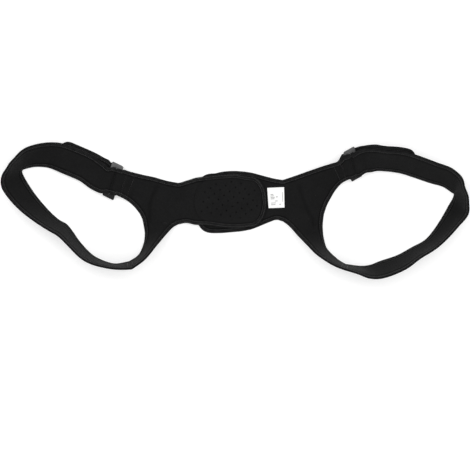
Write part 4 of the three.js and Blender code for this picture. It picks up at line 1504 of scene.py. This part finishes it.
class CORRECTOR_OT_spine_pad(bpy.types.Operator):
    """Make the oval pad and pierce its vents."""

    bl_idname = "corrector.spine_pad"
    bl_label = "Spine pad"

    def execute(self, context):
        grid = pad_grid()
        outline = [grid[:, 0], grid[:, -1], grid[0], grid[-1]]
        vents = vent_places()
        pad = new_object("oval_pad", *pad_mesh(grid, outline))
        pierced = pierce(context, pad, new_object("vent_punches", *vent_punches(vents)))
        pierced.materials.clear()
        pierced.materials.append(pad_look(context.scene.corrector_cloth))
        place = np.zeros(len(pierced.vertices) * 3)
        pierced.vertices.foreach_get("co", place)
        place = (place.reshape(-1, 3) - shift()) / MM
        level = place * (1, 1, 0)
        edge = distance_to([line * (1, 1, 0) for line in outline], level)
        holes = distance_to([np.array([(*spot, 0)]) for spot in vents], level)
        past = past_pad_start(place, SEAM_TAPER_START, PAD_TAPER)
        seen = SEAM_NEAR_SHARE + (1 - SEAM_NEAR_SHARE) * past
        layer = pierced.attributes.new("cloth", "FLOAT_VECTOR", "POINT")
        cloth = np.column_stack([edge / seen, holes, place[:, 2]]) * MM
        layer.data.foreach_set("vector", cloth.astype(np.float32).ravel())
        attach(pad, "root")
        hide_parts("spine_pad")
        return {"FINISHED"}


def pad_look(settings):
    """The pad's closer knit, with painted shade round its seam and in its vents."""
    look = Look("pierced_cloth")
    edge, hole, _ = look.cloth_place()
    grain, colour = knitted(look, settings, PAD_CLOUD_SCALE, 0.88)
    vent = VENT_DIAMETER / 2 * MM
    # painted shade round the pad's sewn edge and in the mouths of its vents, where shade falls
    seam = 1 - edge.rise(PAD_SEAM_START, PAD_SEAM_END)
    vent_shade = 1 - hole.rise(vent, vent + VENT_BLUR)
    colour = look.blend(seam * PAD_SEAM_SHADE, colour, PAD_SEAM_SHADE_COLOUR)
    colour = look.blend(vent_shade * VENT_SHADE, colour, VENT_SHADE_COLOUR)
    normal = look.bump(grain, 0.6, KNIT_RELIEF)
    return napped(look, settings, with_lint(look, colour), 0.85 + (grain - 0.5) * 0.2, normal)


RING_ENDS = {"left": (-6.8, 53.8), "right": (-3.8, 54.3)}  # from the strap's inner edge
SLOT_LOW = 1.0
SLOT_HIGH = 45.6
RING_CORNER = 2.5
SLOT_CORNER = 1.2
RING_EDGE = 1.1  # radius of the ring's long edges
RING_CROWN = 0.16
RING_SHEAR = {"left": 0.16, "right": 0.25}  # the ends slant against the bars
RING_HIGHLIGHT = {"left": 1.0, "right": 0.55}  # how strongly a highlight is painted on the upper end, and how strong its coat is
# where the painted highlight starts along the ring
HIGHLIGHT_START = 0.6 * STRAP_WIDTH
RING_SIDE_STEPS = 30
RING_CORNER_STEPS = 8
RING_EDGE_POINTS = 6
RING_FACE_POINTS = 7


def rounded_loop(reach, low, high, corner):
    """Points round a rectangle with rounded corners, anticlockwise from its lower left."""
    middles = (
        (reach - corner, low + corner, -90),
        (reach - corner, high - corner, 0),
        (-reach + corner, high - corner, 90),
        (-reach + corner, low + corner, 180),
    )
    turns = []
    for x, y, angle in middles:
        angles = np.radians(angle + 90 * np.arange(RING_CORNER_STEPS + 1) / RING_CORNER_STEPS)
        turns.append(np.column_stack([x + corner * np.cos(angles), y + corner * np.sin(angles)]))
    points = []
    for here, following in zip(turns, turns[1:] + turns[:1]):
        points.append(here)
        shares = np.arange(1, RING_SIDE_STEPS)[:, None] / RING_SIDE_STEPS
        points.append(here[-1] + (following[0] - here[-1]) * shares)
    return np.vstack(points)


def ring_mesh(half, ends, shear, highlight_share):
    """A flat ring with rounded edges and slightly crowned faces, in the ring's own directions."""
    outer = rounded_loop(SLOT_WIDTH / 2 + BAR_WIDTH, *ends, RING_CORNER)
    inner = rounded_loop(SLOT_WIDTH / 2, SLOT_LOW, SLOT_HIGH, SLOT_CORNER)
    across = inner - outer
    width = np.linalg.norm(across, axis=1, keepdims=True)
    across = across / width
    quarter = np.radians(np.linspace(0, 90, RING_EDGE_POINTS))
    edge = list(zip(RING_EDGE * (1 - np.cos(quarter)), RING_EDGE * (1 - np.sin(quarter))))
    face = [(share, RING_EDGE * (1 - 2 * share)) for share in np.linspace(0, 1, RING_FACE_POINTS)]
    crown = [RING_CROWN * math.sin(math.pi * share) for share, _ in face]
    profile = [(0.0, x, BAR_THICKNESS - y) for x, y in edge]
    profile += [(*spot, BAR_THICKNESS + up) for spot, up in zip(face[1:-1], crown[1:-1])]
    profile += [(1.0, -x, BAR_THICKNESS - y) for x, y in edge[::-1]]
    profile += [(1.0, -x, y) for x, y in edge]
    profile += [(*spot, 0.0) for spot in face[-2:0:-1]]
    profile += [(0.0, x, y) for x, y in edge[::-1]]
    ring = RingFrame(half)
    points, places = [], []
    for share, inward, up in profile:
        for out, sideways in outer + across * (width * share + inward):
            points.append(ring.point(out, BAR_BASE + up, sideways + shear * out))
            # the third value is the ring's share of painted highlight and coat
            places.append((out, sideways, highlight_share))
    count, rounds = len(outer), len(profile)
    faces = []
    for i in range(rounds):
        for k in range(count):
            a, b = i * count + k, i * count + (k + 1) % count
            c, d = (i + 1) % rounds * count + (k + 1) % count, (i + 1) % rounds * count + k
            faces.append((a, b, c, d) if half.side > 0 else (a, d, c, b))
    return points, faces, places


class CORRECTOR_OT_ring_buckles(bpy.types.Operator):
    """Make the two ring buckles of moulded plastic."""

    bl_idname = "corrector.ring_buckles"
    bl_label = "Ring buckles"

    def execute(self, context):
        look = plastic_look(context.scene.corrector_fittings)
        for side, half in (("left", LEFT), ("right", RIGHT)):
            shape = RING_ENDS[side], RING_SHEAR[side], RING_HIGHLIGHT[side]
            points, faces, places = ring_mesh(half, *shape)
            ring = new_object(f"{side}_ring", points, faces, look, places)
            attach(ring, "root")
            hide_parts(f"{side}_ring_buckle")
        return {"FINISHED"}


LABEL_THICKNESS = 0.4
LABEL_GAP = 0.1
LABEL_CURL = 0.9
LABEL_TAPER = 0.06  # narrower at its lower edge
LABEL_SHIFT = (1.1, 0.9)  # from its place beside the tongue's end
LABEL_STEPS = 24


def label_mesh():
    """Points, faces and flat places of the label, which curls up at its lower corners."""
    centre = np.add(label_place(), LABEL_SHIFT)
    steps = np.linspace(-0.5, 0.5, LABEL_STEPS + 1)
    points, cloth = [], []
    for side in (0, 1):
        for v in steps:
            for u in steps:
                x, y = u * LABEL_WIDTH * (1 - LABEL_TAPER * (0.5 - v)), v * LABEL_HEIGHT
                curl = LABEL_CURL * (2 * abs(u)) ** 3 * (0.5 - v) ** 2
                z = ON_PANEL + LABEL_GAP + curl + LABEL_THICKNESS * side
                points.append((*(centre + swung(x, y, LABEL_TILT)), z))
                cloth.append((x, y, 0))
    count = len(steps) ** 2
    index = np.arange(count).reshape(len(steps), len(steps))
    faces = [*grid_quads(index + count)[:, ::-1], *grid_quads(index)]
    border = [*index[0], *index[1:, -1], *index[-1, -2::-1], *index[-2:0:-1, 0]]
    for a, b in zip(border, border[1:] + border[:1]):
        faces.append((a, b, b + count, a + count))
    return points, faces, cloth


class CORRECTOR_OT_care_label(bpy.types.Operator):
    """Make the sewn label with lightly curled corners."""

    bl_idname = "corrector.care_label"
    bl_label = "Care label"

    def execute(self, context):
        points, faces, cloth = label_mesh()
        look = label_look(context.scene.corrector_fittings)
        label = new_object("white_label", points, faces, look, cloth)
        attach(label, "root")
        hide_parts("care_label")
        return {"FINISHED"}


CAMERA_AT = (-0.34, -41.84)  # millimetres from the middle of the back
SENSOR_WIDTH = 36.0
FLOOR_REACH = 4000.0
FLOOR_DROP = 0.15  # the cloth stays clear of the floor
FLOOR_SQUARES = 8
FLOOR_SHADES = (0.985, 1.0)
KEY_LIGHTS = (
    # where, size and share of the key light's power
    ((-1.1, 1.3, 2.2), 1.6, 1.0),
    ((1.2, 0.9, 2.4), 1.8, 0.7),
    ((0.1, -1.6, 2.0), 2.0, 0.5),
)


class CORRECTOR_OT_stage(bpy.types.Operator):
    """Make the floor, the soft light and the camera."""

    bl_idname = "corrector.stage"
    bl_label = "Stage"

    def execute(self, context):
        settings = context.scene.corrector_stage
        side = np.linspace(-FLOOR_REACH, FLOOR_REACH, FLOOR_SQUARES + 1)
        points = [(x, y, -FLOOR_DROP) for y in side for x in side]
        index = np.arange(len(points)).reshape(len(side), len(side))
        floor = new_object("floor", points, grid_quads(index)[:, ::-1], floor_look(settings))
        world = bpy.data.worlds.new("studio")
        world.use_nodes = True
        back = next(node for node in world.node_tree.nodes if node.type == "BACKGROUND")
        back.inputs["Color"].default_value = (1, 1, 1, 1)
        back.inputs["Strength"].default_value = settings.sky_strength
        context.scene.world = world
        context.scene.view_settings.view_transform = "Standard"
        for number, (where, size, share) in enumerate(KEY_LIGHTS):
            light = bpy.data.lights.new(f"soft_light_{number}", "AREA")
            light.shape = "DISK"
            light.size = size
            light.energy = settings.key_power * share
            lamp = bpy.data.objects.new(light.name, light)
            facing = Vector(where).to_track_quat("Z", "Y").to_matrix().to_4x4()
            lamp.matrix_world = Matrix.Translation(where) @ facing
            context.scene.collection.objects.link(lamp)
        camera = bpy.data.objects.new("camera", bpy.data.cameras.new("camera"))
        camera.data.lens = settings.lens
        camera.data.sensor_width = SENSOR_WIDTH
        height = settings.view_width * settings.lens / SENSOR_WIDTH
        x, y, _ = np.array([*CAMERA_AT, 0.0]) * MM + shift()
        camera.location = (x, y, height)
        camera.data.clip_end = 4 * height
        context.scene.collection.objects.link(camera)
        context.scene.camera = camera
        return {"FINISHED"}


class CORRECTOR_PT_pieces(bpy.types.Panel):
    """Pieces of the posture corrector."""

    bl_idname = "CORRECTOR_PT_pieces"
    bl_label = "Posture corrector"
    bl_space_type = "VIEW_3D"
    bl_region_type = "UI"
    bl_category = "Corrector"

    def draw(self, context):
        for operator in OPERATORS:
            self.layout.operator(operator.bl_idname)
        for name, kind in GROUPS:
            for setting in kind.__annotations__:
                self.layout.prop(getattr(context.scene, name), setting)


OPERATORS = (
    CORRECTOR_OT_back_panels,
    CORRECTOR_OT_shoulder_straps,
    CORRECTOR_OT_spine_pad,
    CORRECTOR_OT_ring_buckles,
    CORRECTOR_OT_care_label,
    CORRECTOR_OT_stage,
)
GROUPS = (
    ("corrector_cloth", CorrectorCloth),
    ("corrector_fittings", CorrectorFittings),
    ("corrector_stage", CorrectorStage),
)


def register():
    for _, group in GROUPS:
        bpy.utils.register_class(group)
    for name, group in GROUPS:
        setattr(bpy.types.Scene, name, PointerProperty(type=group))
    for operator in OPERATORS:
        bpy.utils.register_class(operator)
    bpy.utils.register_class(CORRECTOR_PT_pieces)


def unregister():
    bpy.utils.unregister_class(CORRECTOR_PT_pieces)
    for operator in reversed(OPERATORS):
        bpy.utils.unregister_class(operator)
    for name, group in reversed(GROUPS):
        delattr(bpy.types.Scene, name)
        bpy.utils.unregister_class(group)


def main():
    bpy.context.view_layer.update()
    register()
    bpy.ops.corrector.stage()
    bpy.ops.corrector.back_panels()
    bpy.ops.corrector.shoulder_straps()
    bpy.ops.corrector.spine_pad()
    bpy.ops.corrector.ring_buckles()
    bpy.ops.corrector.care_label()


if __name__ == "__main__":
    main()
